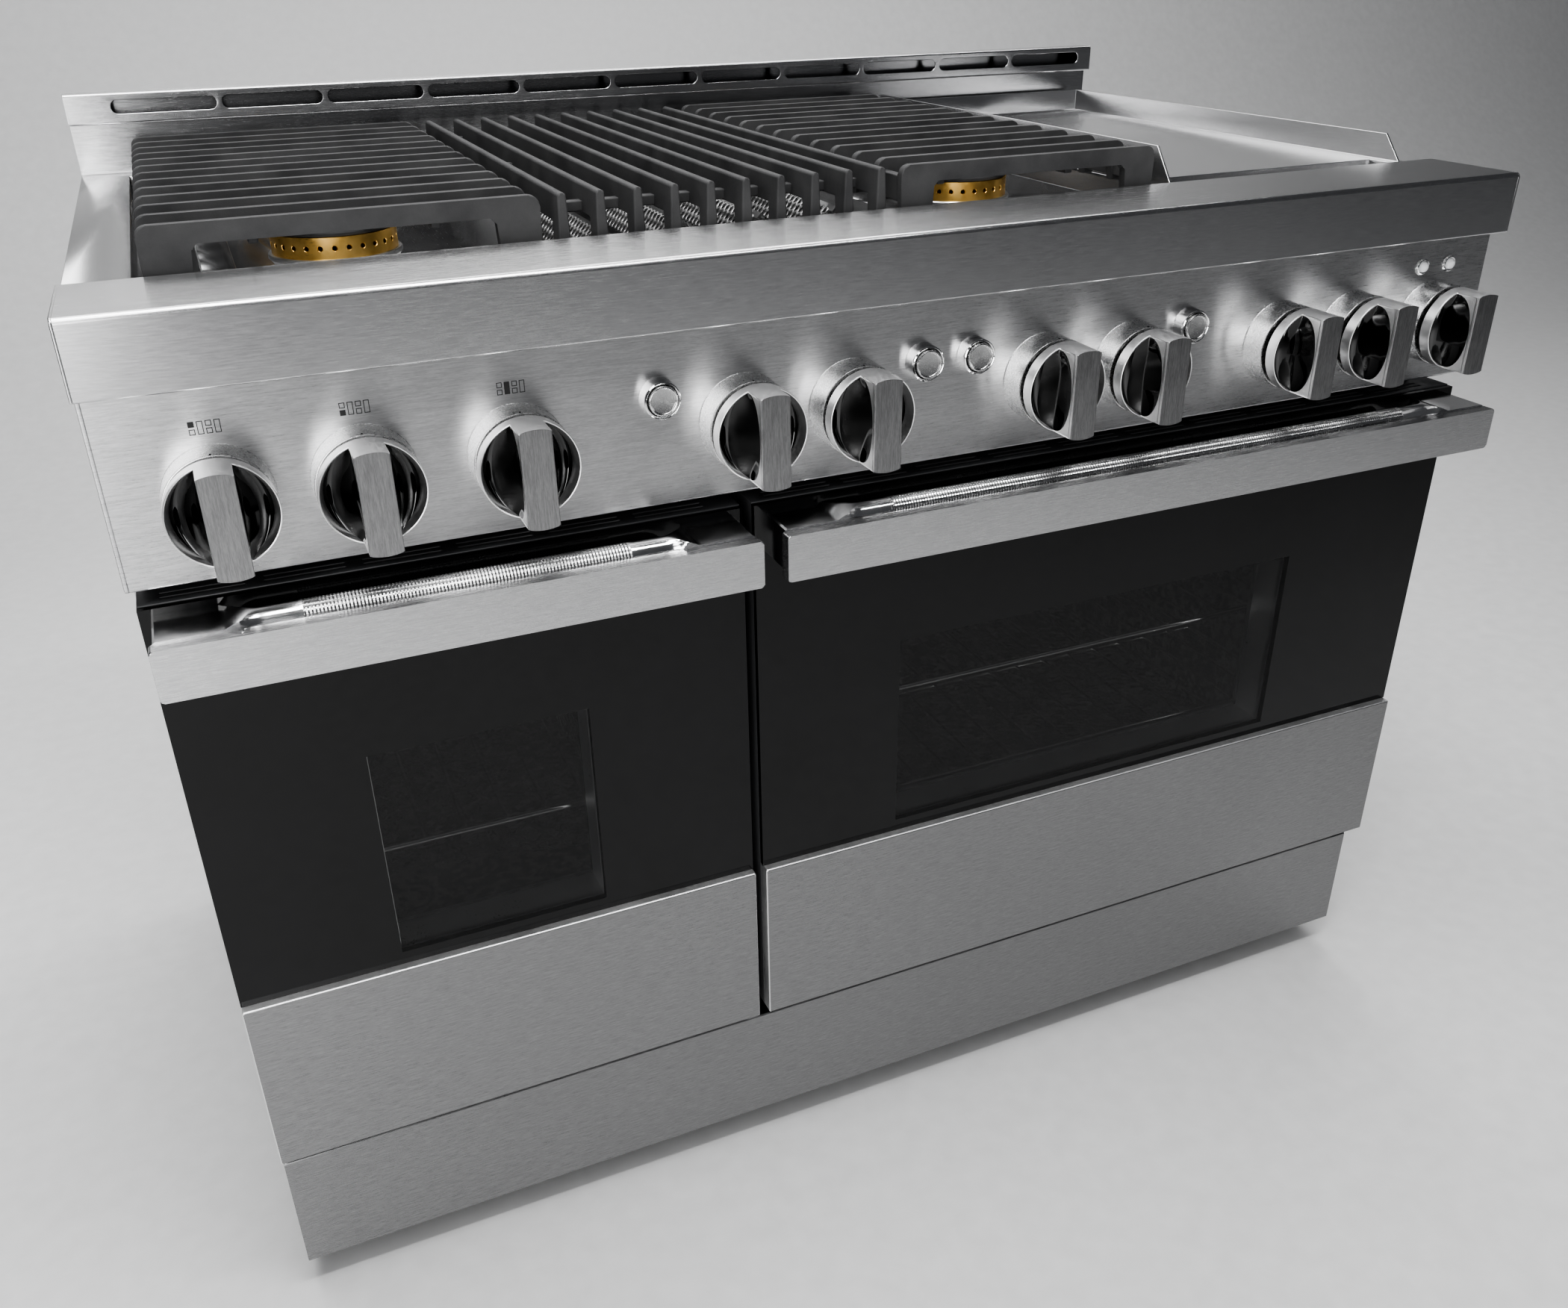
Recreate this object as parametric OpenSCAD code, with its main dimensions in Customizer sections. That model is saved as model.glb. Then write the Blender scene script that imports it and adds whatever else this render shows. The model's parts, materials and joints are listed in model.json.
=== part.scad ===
// Freestanding commercial gas range: two ovens under an open burner, grill and griddle top.
//
// Every module below draws in chassis coordinates: X from the left edge, Y backwards from the
// outer face of the oven doors, Z up from the underside of the kick plate. placed() then shifts
// the result to the part's own origin, the bottom centre of its bounding box.

/* [Overall] */
// width over the front rail
overall_w = 1216; // [1208:1:1224]
// depth of the chassis behind the face of the doors
chassis_d = 690; // [684:1:696]
// height of the levelling legs under the chassis
leg_h = 38; // [30:1:46]
// top of the front rail above the underside of the chassis
rail_top = 876; // [872:1:880]
// top of the rear vent guard above the underside of the chassis
guard_top = 947; // [930:1:970]
// thickness of the folded sheet panels
sheet = 1.5; // [1.2:0.1:2]

/* [Front rail and control panel] */
// height of the front face of the rail
rail_h = 53; // [48:1:56]
// how far the rail stands in front of the doors
rail_out = 18; // [12:1:24]
// distance from the front of the rail to the edge of the cooking surface
rail_d = 105; // [104:1:106]
// bottom edge of the control panel above the underside of the chassis
panel_bottom = 686; // [684:1:690]

/* [Knobs and buttons] */
// radius of the fixed collar round each knob
collar_r = 36.5; // [34:0.5:38]
// how far the collar stands out of the control panel
collar_d = 25; // [22:1:28]
// how far the whole knob stands in front of the doors
knob_out = 66; // [62:1:70]
// width of the grip blade across a knob
blade_w = 23; // [18:1:26]
// height of the knob axes above the underside of the chassis
knob_z = 745; // [742:1:748]
// height of the push button axes above the underside of the chassis
button_z = 772; // [768:1:776]
// radius of a push button
button_r = 12; // [10:0.5:13]

/* [Doors] */
// width of the left oven door
left_door_w = 446; // [440:1:448]
// width of the right oven door
right_door_w = 750; // [746:1:752]
// gap between a door and the edge of the chassis
door_side_gap = 5; // [3:1:6]
// bottom edge of the doors above the underside of the chassis
door_bottom = 146; // [144:1:150]
// top edge of the doors above the underside of the chassis
door_top = 673; // [670:1:676]
// top edge of the stainless panel on the lower part of each door
lower_panel_top = 317; // [300:1:322]
// thickness of a door behind its glass face
door_t = 46; // [44:1:48]
// height of the flat plate on the front of each handle
handle_plate_h = 39; // [34:1:44]
// how far the handle plate stands in front of the doors
handle_out = 57; // [54:1:62]
// radius of the round grip bar behind the handle plate
grip_r = 10; // [8:0.5:11]

/* [Cooking top] */
// top of the grates above the underside of the chassis
grate_top = 907; // [900:1:912]
// thickness of one grate bar, front to back
grate_bar_t = 8; // [6:0.5:10]
// number of bars across each burner grate
grate_bars = 13; // [11:1:15]
// thickness of the griddle plate
griddle_t = 12; // [8:1:16]
// outer radius of a brass burner ring
burner_r = 47.5; // [44:0.5:49]

/* [Hidden] */
$fn = 64;
eps = 0.02;
fit = 0.05;
clearance = 0.3;

// Side panels stand just inside the end caps of the rail; everything else is inside them.
side_gap = 2.2;
inside_x = side_gap + sheet + 0.3;

// Front to back stations.
front_out = max(knob_out, handle_out);
overall_d = front_out + chassis_d;
frame_y = 56;
guard_face_y = chassis_d - 13;
guard_lip_y = guard_face_y - 12;
deck_back_y = guard_face_y - 2;
oven_y0 = frame_y + 3.5;
oven_y1 = 610;

// Heights.
rail_bottom = rail_top - rail_h;
rail_back_y = rail_d - rail_out;
deck_z = rail_top - 6;
well_z = 850;
guard_lip_z = guard_top - 29;
ring_z = 865;
ring_h = 16;
cap_h = 11;
kick_top = 126;
floor_t = 2;

// Control panel layout, from the left edge.
knob_x = [73, 169, 277, 454, 546, 724, 812, 973, 1058, 1153];
button_x = [386, 609, 656, 871];
light_x = [1135.5, 1168.5];
light_z = 796;
panel_y = -1;
stem_r = 6;
knob_gap = 1.2;
hub_r = 11;
button_travel = 3;

// Doors, from the left edge.
left_door_x = door_side_gap;
right_door_x = overall_w - door_side_gap - right_door_w;
door_x = [left_door_x, right_door_x];
door_w = [left_door_w, right_door_w];
glass_t = 6;
inner_glass_t = 5;
hinge_y = 22;
hinge_z = door_bottom + 22;
pin_r = 4;
hinge_slot_w = 14;
bracket_w = 6;
hinge_inset = 26;
window_z = [329, 521];
window_x = [[135, 312], [598, 1036]];
plate_t = 12;
plate_z0 = 627;
grip_y = -32;
grip_z = 663;
post_w = 30;
handle_inset = 5;

// Gas inlet at the rear right corner.
inlet_inset = 90;
inlet_z = 60;

// Oven cavities.
oven_x = [[62, 398], [520, 1150]];
oven_z = [205, 590];
rack_level = [[379], [306, 422]];
rack_rod_r = 3;
rack_wire_r = 2;
ledge = 8;

// Cooking top layout.
well_x0 = 46;
well_x1 = 905;
grill_x = [340, 632];
griddle_x = [908, 1198];
left_grate_x = [54, 334];
right_grate_x = [639, 893];
grate_y = [97, 643];
burner_x = [192, 742];
burner_y = [190, 510];
grill_bars = 10;
grill_pitch = 29.9;
grill_y = [95, 640];
grill_box_z = 772;

// ---------------------------------------------------------------- helpers

module placed() {
    translate([-overall_w / 2, front_out - overall_d / 2, leg_h]) children();
}

// A box between two opposite corners.
module span(low, high) {
    translate(low) cube(high - low);
}

// A bar along X with the given outline in Y and Z.
module along_x(x0, x1, outline) {
    translate([x0, 0, 0]) rotate([90, 0, 90]) linear_extrude(x1 - x0) polygon(outline);
}

// A plate in X and Z with the given outline, from y0 back to y1.
module along_y(y0, y1, outline) {
    translate([0, y1, 0]) rotate([90, 0, 0]) linear_extrude(y1 - y0) polygon(outline);
}

// A round bar along each axis.
module rod_x(x0, x1, y, z, r) {
    translate([x0, y, z]) rotate([0, 90, 0]) cylinder(r = r, h = x1 - x0);
}

module rod_y(y0, y1, x, z, r) {
    translate([x, y1, z]) rotate([90, 0, 0]) cylinder(r = r, h = y1 - y0);
}

module rod_z(z0, z1, x, y, r) {
    translate([x, y, z0]) cylinder(r = r, h = z1 - z0);
}

// A turned shape on a front to back axis: points are [radius, distance in front of the doors].
module turned_y(x, z, points) {
    translate([x, 0, z]) rotate([90, 0, 0]) rotate_extrude() polygon(points);
}

// A slot with round ends through a wall that faces the front.
module slot_y(x0, x1, z, r, y0, y1) {
    rod_y(y0, y1, x0 + r, z, r);
    rod_y(y0, y1, x1 - r, z, r);
    span([x0 + r, y0, z - r], [x1 - r, y1, z + r]);
}

// Corner points of a quarter circle, for the rounded folds of a profile.
function fold(cy, cz, r, a0, a1, steps = 4) =
    [for (i = [0 : steps]) let (a = a0 + (a1 - a0) * i / steps) [cy + r * cos(a), cz + r * sin(a)]];

// ---------------------------------------------------------------- chassis

module base_pan() {
    lip = 30;
    color([0.55, 0.56, 0.57]) placed() difference() {
        span([inside_x, frame_y + 4, 0], [overall_w - inside_x, chassis_d - 2 * sheet, lip]);
        span([inside_x + sheet, frame_y + 4 + sheet, sheet],
             [overall_w - inside_x - sheet, chassis_d - 3 * sheet, lip + 1]);
    }
}

module side_panel(x0) {
    color([0.62, 0.63, 0.64]) placed()
        span([x0, frame_y, 0], [x0 + sheet, chassis_d - sheet, deck_z - sheet]);
}

module back_panel() {
    vent_w = 60;
    vent_pitch = 105;
    vent_r = 3;
    row_pitch = 18;
    inlet_hole_r = 20;
    y = [chassis_d - 5, chassis_d + 5];
    color([0.60, 0.61, 0.62]) placed() difference() {
        span([sheet, chassis_d - sheet, 0], [overall_w - sheet, chassis_d, deck_z - sheet]);
        for (row = [0 : 3], col = [0 : 9])
            slot_y(120 + col * vent_pitch, 120 + col * vent_pitch + vent_w, 640 + row * row_pitch, vent_r,
                   y[0], y[1]);
        rod_y(y[0], y[1], overall_w - inlet_inset, inlet_z, inlet_hole_r);
    }
}

module center_divider() {
    divider_x = (left_door_x + left_door_w + right_door_x) / 2;
    front_y = frame_y + 4 + sheet + clearance;
    color([0.45, 0.46, 0.47]) placed()
        span([divider_x - 3, front_y, sheet], [divider_x + 3, oven_y1, panel_bottom - 4]);
}

module front_frame() {
    margin = 1;
    color([0.10, 0.10, 0.11]) placed() difference() {
        span([inside_x, frame_y, sheet], [overall_w - inside_x, frame_y + 3, panel_bottom + 20]);
        for (x = oven_x)
            span([x[0] - margin, frame_y - 1, oven_z[0] - margin],
                 [x[1] + margin, frame_y + 4, oven_z[1] + margin]);
    }
}

module kick_plate() {
    face_y = 12;
    color([0.63, 0.64, 0.65]) placed() difference() {
        span([door_side_gap, face_y, 0], [overall_w - door_side_gap, frame_y - eps, kick_top]);
        span([door_side_gap + sheet, face_y + sheet, sheet],
             [overall_w - door_side_gap - sheet, frame_y + 1, kick_top - sheet]);
    }
}

module levelling_legs() {
    color([0.35, 0.36, 0.37]) placed()
        for (x = [70, overall_w / 2, overall_w - 70], y = [110, chassis_d - 70])
            translate([x, y, -leg_h]) rotate_extrude()
                polygon([[0, 0], [22, 0], [22, 5], [12, 9], [9, 12], [9, leg_h], [0, leg_h]]);
}

// ---------------------------------------------------------------- front rail and guard

module front_rail() {
    t = 2;
    edge_r = 4;
    outline = concat(
        [[rail_back_y, rail_bottom], [rail_back_y, rail_top]],
        fold(-rail_out + edge_r, rail_top - edge_r, edge_r, 90, 180),
        [[-rail_out, rail_bottom]]);
    color([0.74, 0.75, 0.76]) placed() difference() {
        along_x(0, overall_w, outline);
        span([t, -rail_out + t, rail_bottom + t], [overall_w - t, rail_back_y - t, rail_top - t]);
        // Open underneath, behind the lip that meets the control panel.
        span([t, panel_y - 0.5, rail_bottom - 1], [overall_w - t, rail_back_y - t, rail_bottom + t + 1]);
        // Notches in the back wall where the side panels pass.
        for (x = [t, overall_w - inside_x])
            span([x, rail_back_y - t - 1, rail_bottom - 1], [x + inside_x - t, rail_back_y + 1, deck_z]);
    }
}

module control_panel() {
    light_r = 5.5;
    color([0.70, 0.71, 0.72]) placed() difference() {
        union() {
            span([1, panel_y, panel_bottom], [overall_w - 1, panel_y + sheet, rail_bottom - eps]);
            span([inside_x, panel_y, panel_bottom],
                 [overall_w - inside_x, panel_y + sheet, rail_bottom + 24]);
            span([1, panel_y, panel_bottom], [overall_w - 1, frame_y - 4, panel_bottom + sheet]);
            for (x = [1, overall_w - 1 - sheet])
                span([x, panel_y, panel_bottom], [x + sheet, frame_y - 4, rail_bottom - 1]);
        }
        for (x = knob_x) rod_y(-5, 5, x, knob_z, 16);
        for (x = button_x) rod_y(-5, 5, x, button_z, 9);
        for (x = light_x) rod_y(-5, 5, x, light_z, light_r + fit);
    }
}

// The rear vent guard: a folded box with a lip along the top and a row of slots in the lip.
module backguard() {
    slot_count = 11;
    slot_w = 99.5;
    slot_r = 6.5;
    slot_x0 = 43;
    slot_end = 20;
    slot_pitch = (overall_w - slot_end - slot_w - slot_x0) / (slot_count - 1);
    slot_z = guard_lip_z + 16;
    t = sheet;
    outer = [[guard_face_y, deck_z], [guard_face_y, guard_lip_z], [guard_lip_y, guard_lip_z],
             [guard_lip_y, guard_top], [chassis_d, guard_top], [chassis_d, deck_z]];
    inner = [[guard_face_y + t, deck_z - 1], [guard_face_y + t, guard_lip_z + t],
             [guard_lip_y + t, guard_lip_z + t], [guard_lip_y + t, guard_top - t],
             [chassis_d - t, guard_top - t], [chassis_d - t, deck_z - 1]];
    color([0.74, 0.75, 0.76]) placed() difference() {
        along_x(1, overall_w - 1, outer);
        along_x(1 + t, overall_w - 1 - t, inner);
        for (i = [0 : slot_count - 1])
            slot_y(slot_x0 + i * slot_pitch, slot_x0 + i * slot_pitch + slot_w,
                   slot_z, slot_r, guard_lip_y - 1, guard_lip_y + 5);
    }
}

// ---------------------------------------------------------------- cooking top

module cooktop_pan() {
    t = 1.5;
    rear_trim = 28;
    ledge_w = 14;
    rib_w = 24;
    rib_h = 14;
    wall_y0 = rail_back_y + 0.3;
    well_back_y = deck_back_y - rear_trim;
    burner_hole_r = 31;
    ledge_z = rail_top - 4 - griddle_t - 0.3;
    color([0.66, 0.67, 0.68]) placed() difference() {
        union() {
            // Flat trims at each side and behind, at deck height.
            span([1, wall_y0, deck_z - t], [well_x0, deck_back_y, deck_z]);
            span([griddle_x[1] + 1, wall_y0, deck_z - t], [overall_w - 1, deck_back_y, deck_z]);
            span([well_x0 - 1, well_back_y, deck_z - t], [well_x1 + t, deck_back_y, deck_z]);
            // Burner well and its walls.
            span([well_x0 - t, wall_y0, well_z - t], [well_x1, well_back_y + 1, well_z]);
            span([well_x0 - t, wall_y0, well_z - t], [well_x0, well_back_y + 1, deck_z - eps]);
            span([well_x0 - t, well_back_y, well_z - t], [well_x1, well_back_y + t, deck_z]);
            span([well_x0 - t, wall_y0, well_z - t], [well_x1, wall_y0 + t, deck_z - 4]);
            // Side walls of the griddle bay, with a ledge along each for the plate to rest on.
            span([well_x1, wall_y0, well_z - t], [well_x1 + t, deck_back_y, deck_z]);
            span([well_x1, grate_y[0] + 60, ledge_z - t],
                 [griddle_x[0] + ledge_w, deck_back_y - 4, ledge_z]);
            span([griddle_x[1] + 1, wall_y0, ledge_z - t], [griddle_x[1] + 1 + t, deck_back_y, deck_z]);
            span([griddle_x[1] - ledge_w, grate_y[0] + 60, ledge_z - t],
                 [griddle_x[1] + 1 + t, deck_back_y - 4, ledge_z]);
            span([well_x1, deck_back_y - 24, ledge_z - t], [griddle_x[1] + 1 + t, deck_back_y - 4, ledge_z]);
            // Low ribs that stiffen the well beside each pair of burners.
            for (x = [burner_x[0] - 100, burner_x[1] - 92])
                span([x, grate_y[0] + 20, well_z - t], [x + rib_w, grate_y[1] - 120, well_z + rib_h]);
        }
        for (x = burner_x, y = burner_y)
            rod_z(well_z - 5, well_z + 5, x, y, burner_hole_r);
        span([grill_x[0] + 8, grill_y[0] + 14, well_z - 5], [grill_x[1] - 8, grill_y[1] - 14, well_z + 5]);
    }
}

module burner_bases() {
    color([0.80, 0.81, 0.82]) placed()
        for (x = burner_x, y = burner_y)
            translate([x, y, 0]) rotate_extrude()
                polygon([[16, well_z - 34], [30, well_z - 34], [30, well_z + 0.2], [44, well_z + 0.2],
                         [burner_r + 3, ring_z - 4], [burner_r + 3, ring_z], [16, ring_z]]);
}

module burner_rings() {
    port_count = 28;
    port_r = 1.3;
    color([0.78, 0.60, 0.30]) placed()
        for (x = burner_x, y = burner_y) translate([x, y, ring_z]) difference() {
            cylinder(r = burner_r, h = ring_h);
            translate([0, 0, -1]) cylinder(r = burner_r - 8, h = ring_h + 2);
            for (i = [0 : port_count - 1])
                rotate([0, 90, (i + 0.5) * 360 / port_count])
                    translate([-ring_h * 0.55, 0, burner_r - 12]) cylinder(r = port_r, h = 14, $fn = 16);
        }
}

module burner_caps() {
    color([0.12, 0.12, 0.13]) placed()
        for (x = burner_x, y = burner_y)
            translate([x, y, ring_z + ring_h]) rotate_extrude()
                polygon([[0, 0], [burner_r - 1.5, 0], [burner_r - 1, 3], [burner_r - 3, 7],
                         [burner_r - 8, cap_h - 1], [burner_r - 14, cap_h], [0, cap_h]]);
}

module igniters() {
    color([0.92, 0.91, 0.88]) placed()
        for (x = burner_x, y = burner_y)
            translate([x + 12, y + burner_r + 9, well_z]) {
                cylinder(r = 5, h = 6, $fn = 32);
                cylinder(r = 3, h = 19, $fn = 32);
                cylinder(r = 1, h = 25, $fn = 16);
            }
}

// One burner grate: bars across it, feet under the first and last, rails under the ends of the
// bars, and a thinner rib on each side of the burners.
module grate(x0, x1, burner) {
    bar_h = 13;
    pitch = (grate_y[1] - grate_y[0] - grate_bar_t) / (grate_bars - 1);
    foot_w = 30;
    corner = 7;
    rib_w = 8;
    rib_gap = burner_r + 12;
    top = grate_top;
    rail_z = [top - 32, top - bar_h + 2];
    bar = [[x0, top - bar_h - 6], [x0, top - corner], [x0 + 2, top - 2], [x0 + corner, top],
           [x1 - corner, top], [x1 - 2, top - 2], [x1, top - corner], [x1, top - bar_h - 6],
           [x1 - 14, top - bar_h], [x0 + 14, top - bar_h]];
    foot_left = [[x0, top - bar_h - 8], [x0 - 1, well_z + 0.2], [x0 + foot_w - 4, well_z + 0.2],
                 [x0 + foot_w + 4, top - bar_h + 1], [x0, top - bar_h + 1]];
    foot_right = [for (p = foot_left) [x0 + x1 - p[0], p[1]]];
    for (i = [0 : grate_bars - 1])
        along_y(grate_y[0] + i * pitch, grate_y[0] + i * pitch + grate_bar_t, bar);
    for (i = [0, grate_bars - 1]) {
        along_y(grate_y[0] + i * pitch, grate_y[0] + i * pitch + grate_bar_t, foot_left);
        along_y(grate_y[0] + i * pitch, grate_y[0] + i * pitch + grate_bar_t, foot_right);
    }
    for (x = [x0 + 1, x1 - 11])
        span([x, grate_y[0] + 2, rail_z[0]], [x + 10, grate_y[1] - 2, rail_z[1]]);
    for (x = [burner - rib_gap - rib_w, burner + rib_gap])
        span([x, grate_y[0] + 2, top - bar_h - 6], [x + rib_w, grate_y[1] - 2, rail_z[1]]);
}

module grate_left() {
    color([0.22, 0.22, 0.23]) placed() grate(left_grate_x[0], left_grate_x[1], burner_x[0]);
}

module grate_right() {
    color([0.22, 0.22, 0.23]) placed() grate(right_grate_x[0], right_grate_x[1], burner_x[1]);
}

// Outline of a grill bar seen from the front: a wedge, narrow on top, cut off at the given depth.
function wedge(x, depth, top_w, foot_w, full_depth) =
    let (half = (top_w + (foot_w - top_w) * depth / full_depth) / 2)
    [[x - half, grate_top - depth], [x + half, grate_top - depth], [x + top_w / 2, grate_top - 2],
     [x + top_w / 2 - 1.5, grate_top], [x - top_w / 2 + 1.5, grate_top], [x - top_w / 2, grate_top - 2]];

// Grill bars run front to back, each with a deep end at the front and at the back.
module grill_grate() {
    top_w = 7;
    foot_w = 11;
    bar_h = 22;
    end_h = 50;
    end_d = 18;
    foot_d = 13;
    centre = (grill_x[0] + grill_x[1]) / 2 - 1;
    reach = (grill_bars - 1) / 2 * grill_pitch;
    color([0.22, 0.22, 0.23]) placed() {
        for (i = [0 : grill_bars - 1]) {
            x = centre - reach + i * grill_pitch;
            along_y(grill_y[0], grill_y[1], wedge(x, bar_h, top_w, foot_w, end_h));
            for (y = [grill_y[0], grill_y[1] - end_d])
                along_y(y, y + end_d, wedge(x, end_h, top_w, foot_w, end_h));
        }
        // Cross bars between the grill bars, and the four feet.
        for (y = [grill_y[0] + 40, (grill_y[0] + grill_y[1]) / 2, grill_y[1] - 50])
            span([centre - reach, y, grate_top - bar_h + 1],
                 [centre + reach, y + 10, grate_top - bar_h + 9]);
        for (x = [centre - reach, centre + reach], y = [grill_y[0], grill_y[1] - foot_d])
            span([x - foot_w / 2, y, well_z + 0.2], [x + foot_w / 2, y + foot_d, grate_top - end_h + 1]);
    }
}

// Inverted V plates over the grill burners, which turn dripping fat into smoke.
module flame_tamers() {
    count = 4;
    pitch = 68;
    half = 30;
    rise = 28;
    t = 2;
    rail_w = 6;
    foot = well_z - 2;
    stand_x = [grill_x[0] + 6, grill_x[1] - 6];
    centre = (grill_x[0] + grill_x[1]) / 2;
    color([0.30, 0.30, 0.31]) placed() {
        // Two cross rails carry the plates, on posts that stand on the floor of the grill box.
        for (y = [grill_y[0] + 24, grill_y[1] - 32]) {
            span([stand_x[0], y, foot - rail_w], [stand_x[1], y + rail_w, foot + 0.2]);
            for (x = [stand_x[0], stand_x[1] - t])
                span([x, y, grill_box_z + sheet + 0.1], [x + t, y + rail_w, foot - 1]);
        }
        for (i = [0 : count - 1]) {
            x = centre + (i - (count - 1) / 2) * pitch;
            difference() {
                along_y(grill_y[0] + 20, grill_y[1] - 20,
                        [[x - half, foot], [x, foot + rise], [x + half, foot],
                         [x + half - t * 1.5, foot], [x, foot + rise - t * 1.2],
                         [x - half + t * 1.5, foot]]);
                for (k = [0 : 10], s = [-1, 1])
                    rod_z(foot - 5, foot + rise + 5, x + s * half / 2, grill_y[0] + 60 + k * 42, 4);
            }
        }
    }
}

module tube_burner(x, y0, y1, z) {
    r = 12;
    rod_y(y0, y1, x - 28, z, r);
    rod_y(y0, y1, x + 28, z, r);
    rod_x(x - 28, x + 28, y0 + r + 2, z, r - 2);
    rod_x(x - 28, x + 28, y1 - r - 2, z, r - 2);
}

module grill_burners() {
    tube_z = 798;
    color([0.50, 0.50, 0.51]) placed() {
        for (x = [grill_x[0] + 78, grill_x[1] - 78]) tube_burner(x, 120, 600, tube_z);
        for (x = [griddle_x[0] + 75, griddle_x[1] - 75]) tube_burner(x, 130, 620, tube_z);
    }
}

// Open box under the grill that holds its burners and catches the drips.
module grill_box() {
    low = grill_box_z;
    x = [grill_x[0] + 4, grill_x[1] - 4];
    y = [104, 630];
    color([0.40, 0.40, 0.41]) placed() difference() {
        span([x[0], y[0], low], [x[1], y[1], well_z - sheet]);
        span([x[0] + sheet, y[0] + sheet, low + sheet], [x[1] - sheet, y[1] - sheet, well_z]);
    }
}

// Plate with a wall at each side and behind, and a grease trough along the front.
module griddle() {
    t = 2.5;
    plate_z = rail_top - 4;
    wall_z = rail_top + 20;
    left_wall_z = rail_top + 28;
    y0 = rail_back_y + 1.2;
    y1 = guard_lip_y - 0.8;
    x0 = griddle_x[0];
    x1 = griddle_x[1];
    trough_y = y0 + 44;
    color([0.60, 0.61, 0.62]) placed() {
        difference() {
            span([x0, y0, plate_z - griddle_t - 8], [x1, y1, plate_z]);
            span([x0 - 1, trough_y + 8, plate_z - griddle_t - 9], [x1 + 1, y1 + 1, plate_z - griddle_t]);
            span([x0 + 14, y0 + 12, plate_z - 14], [x1 - 14, trough_y, plate_z + 1]);
        }
        along_x(x0, x0 + t, [[y0, plate_z - 1], [y0 + 26, left_wall_z], [y1, left_wall_z],
                             [y1, plate_z - 1]]);
        along_x(x1 - t, x1, [[y0 + 18, plate_z - 1], [y0 + 40, wall_z], [y1, wall_z],
                             [y1, plate_z - 1]]);
        span([x0, y1 - t, plate_z - 1], [x1, y1, wall_z]);
    }
}

// ---------------------------------------------------------------- gas supply

module gas_manifold() {
    pipe_r = 12.5;
    y = 76;
    inlet_x = overall_w - inlet_inset;
    riser_x = overall_w - 42;
    inlet_r = 11.9;
    color([0.55, 0.54, 0.50]) placed() {
        difference() {
            union() {
                rod_x(40, overall_w - 30, y, knob_z, pipe_r);
                rod_z(inlet_z, knob_z, riser_x, y, pipe_r);
            }
            rod_x(44, riser_x - 4, y, knob_z, pipe_r - 3);
        }
        difference() {
            union() {
                rod_y(y, chassis_d - 4, riser_x, inlet_z, pipe_r);
                rod_x(inlet_x, riser_x, chassis_d - 20, inlet_z, pipe_r);
                rod_y(chassis_d - 36, chassis_d - 0.5, inlet_x, inlet_z, 18);
            }
            rod_y(chassis_d - 30, chassis_d + 1, inlet_x, inlet_z, inlet_r);
        }
    }
}

module valve_bodies() {
    color([0.72, 0.64, 0.45]) placed()
        for (x = knob_x) {
            rod_y(12, 48, x, knob_z, 14);
            rod_y(47, 63.4, x, knob_z, 8);
            rod_y(-(collar_d + 9), 13, x, knob_z, stem_r);
        }
}

// ---------------------------------------------------------------- ovens

module oven_liner(i) {
    flange = 14;
    t = 1.5;
    x = oven_x[i];
    color([0.16, 0.17, 0.19]) placed() {
        difference() {
            union() {
                span([x[0] - t, oven_y0, oven_z[0] - t], [x[1] + t, oven_y1, oven_z[1] + t]);
                span([x[0] - flange, oven_y0, oven_z[0] - flange],
                     [x[1] + flange, oven_y0 + t, oven_z[1] + flange]);
            }
            span([x[0], oven_y0 - 1, oven_z[0]], [x[1], oven_y1 - t, oven_z[1]]);
            rod_y(oven_y1 - 5, oven_y1 + 5, x[1] - 50, oven_z[1] - 45, 18.3);
            for (k = [0 : 5])
                slot_y(x[0] + 40 + k * 42, x[0] + 70 + k * 42, oven_z[0] + 30, 4, oven_y1 - 5, oven_y1 + 5);
        }
        // Folded ledges that carry the racks.
        for (level = rack_level[i], side = [0, 1]) {
            wall = side == 0 ? x[0] - 0.5 : x[1] - ledge;
            span([wall, oven_y0 + 10, level - rack_rod_r - 6 - clearance],
                 [wall + ledge + 0.5, oven_y1 - 10, level - rack_rod_r - clearance]);
        }
    }
}

module oven_lamps() {
    color([0.93, 0.92, 0.86]) placed()
        for (x = oven_x) {
            rod_y(oven_y1 - 12, oven_y1 + 20, x[1] - 50, oven_z[1] - 45, 18);
            rod_y(oven_y1 - 24, oven_y1 - 11, x[1] - 50, oven_z[1] - 45, 13);
        }
}

module oven_burners() {
    tube_z = 178;
    color([0.45, 0.45, 0.46]) placed()
        for (x = oven_x) tube_burner((x[0] + x[1]) / 2, 120, 540, tube_z);
}

// A wire rack that rests on the two ledges at one level.
module rack(i, level) {
    x0 = oven_x[i][0] + 4;
    x1 = oven_x[i][1] - 4;
    y0 = 78;
    y1 = oven_y1 - 14;
    z = level;
    pitch = 36.5;
    count = floor((x1 - x0 - 20) / pitch);
    first = (x0 + x1 - (count - 1) * pitch) / 2;
    for (x = [x0, x1]) rod_y(y0, y1, x + (x == x0 ? rack_rod_r : -rack_rod_r), z, rack_rod_r);
    for (y = [y0, y1]) rod_x(x0, x1, y + (y == y0 ? rack_rod_r : -rack_rod_r), z, rack_rod_r);
    for (k = [1 : 2])
        rod_x(x0 + 1, x1 - 1, y0 + (y1 - y0) * k / 3, z, rack_rod_r - 0.5);
    for (k = [0 : count - 1])
        rod_y(y0 + 2, y1 - 2, first + k * pitch, z + 1.5, rack_wire_r);
}

module rack_left() {
    color([0.75, 0.76, 0.77]) placed() rack(0, rack_level[0][0]);
}

module rack_right_lower() {
    color([0.75, 0.76, 0.77]) placed() rack(1, rack_level[1][0]);
}

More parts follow.
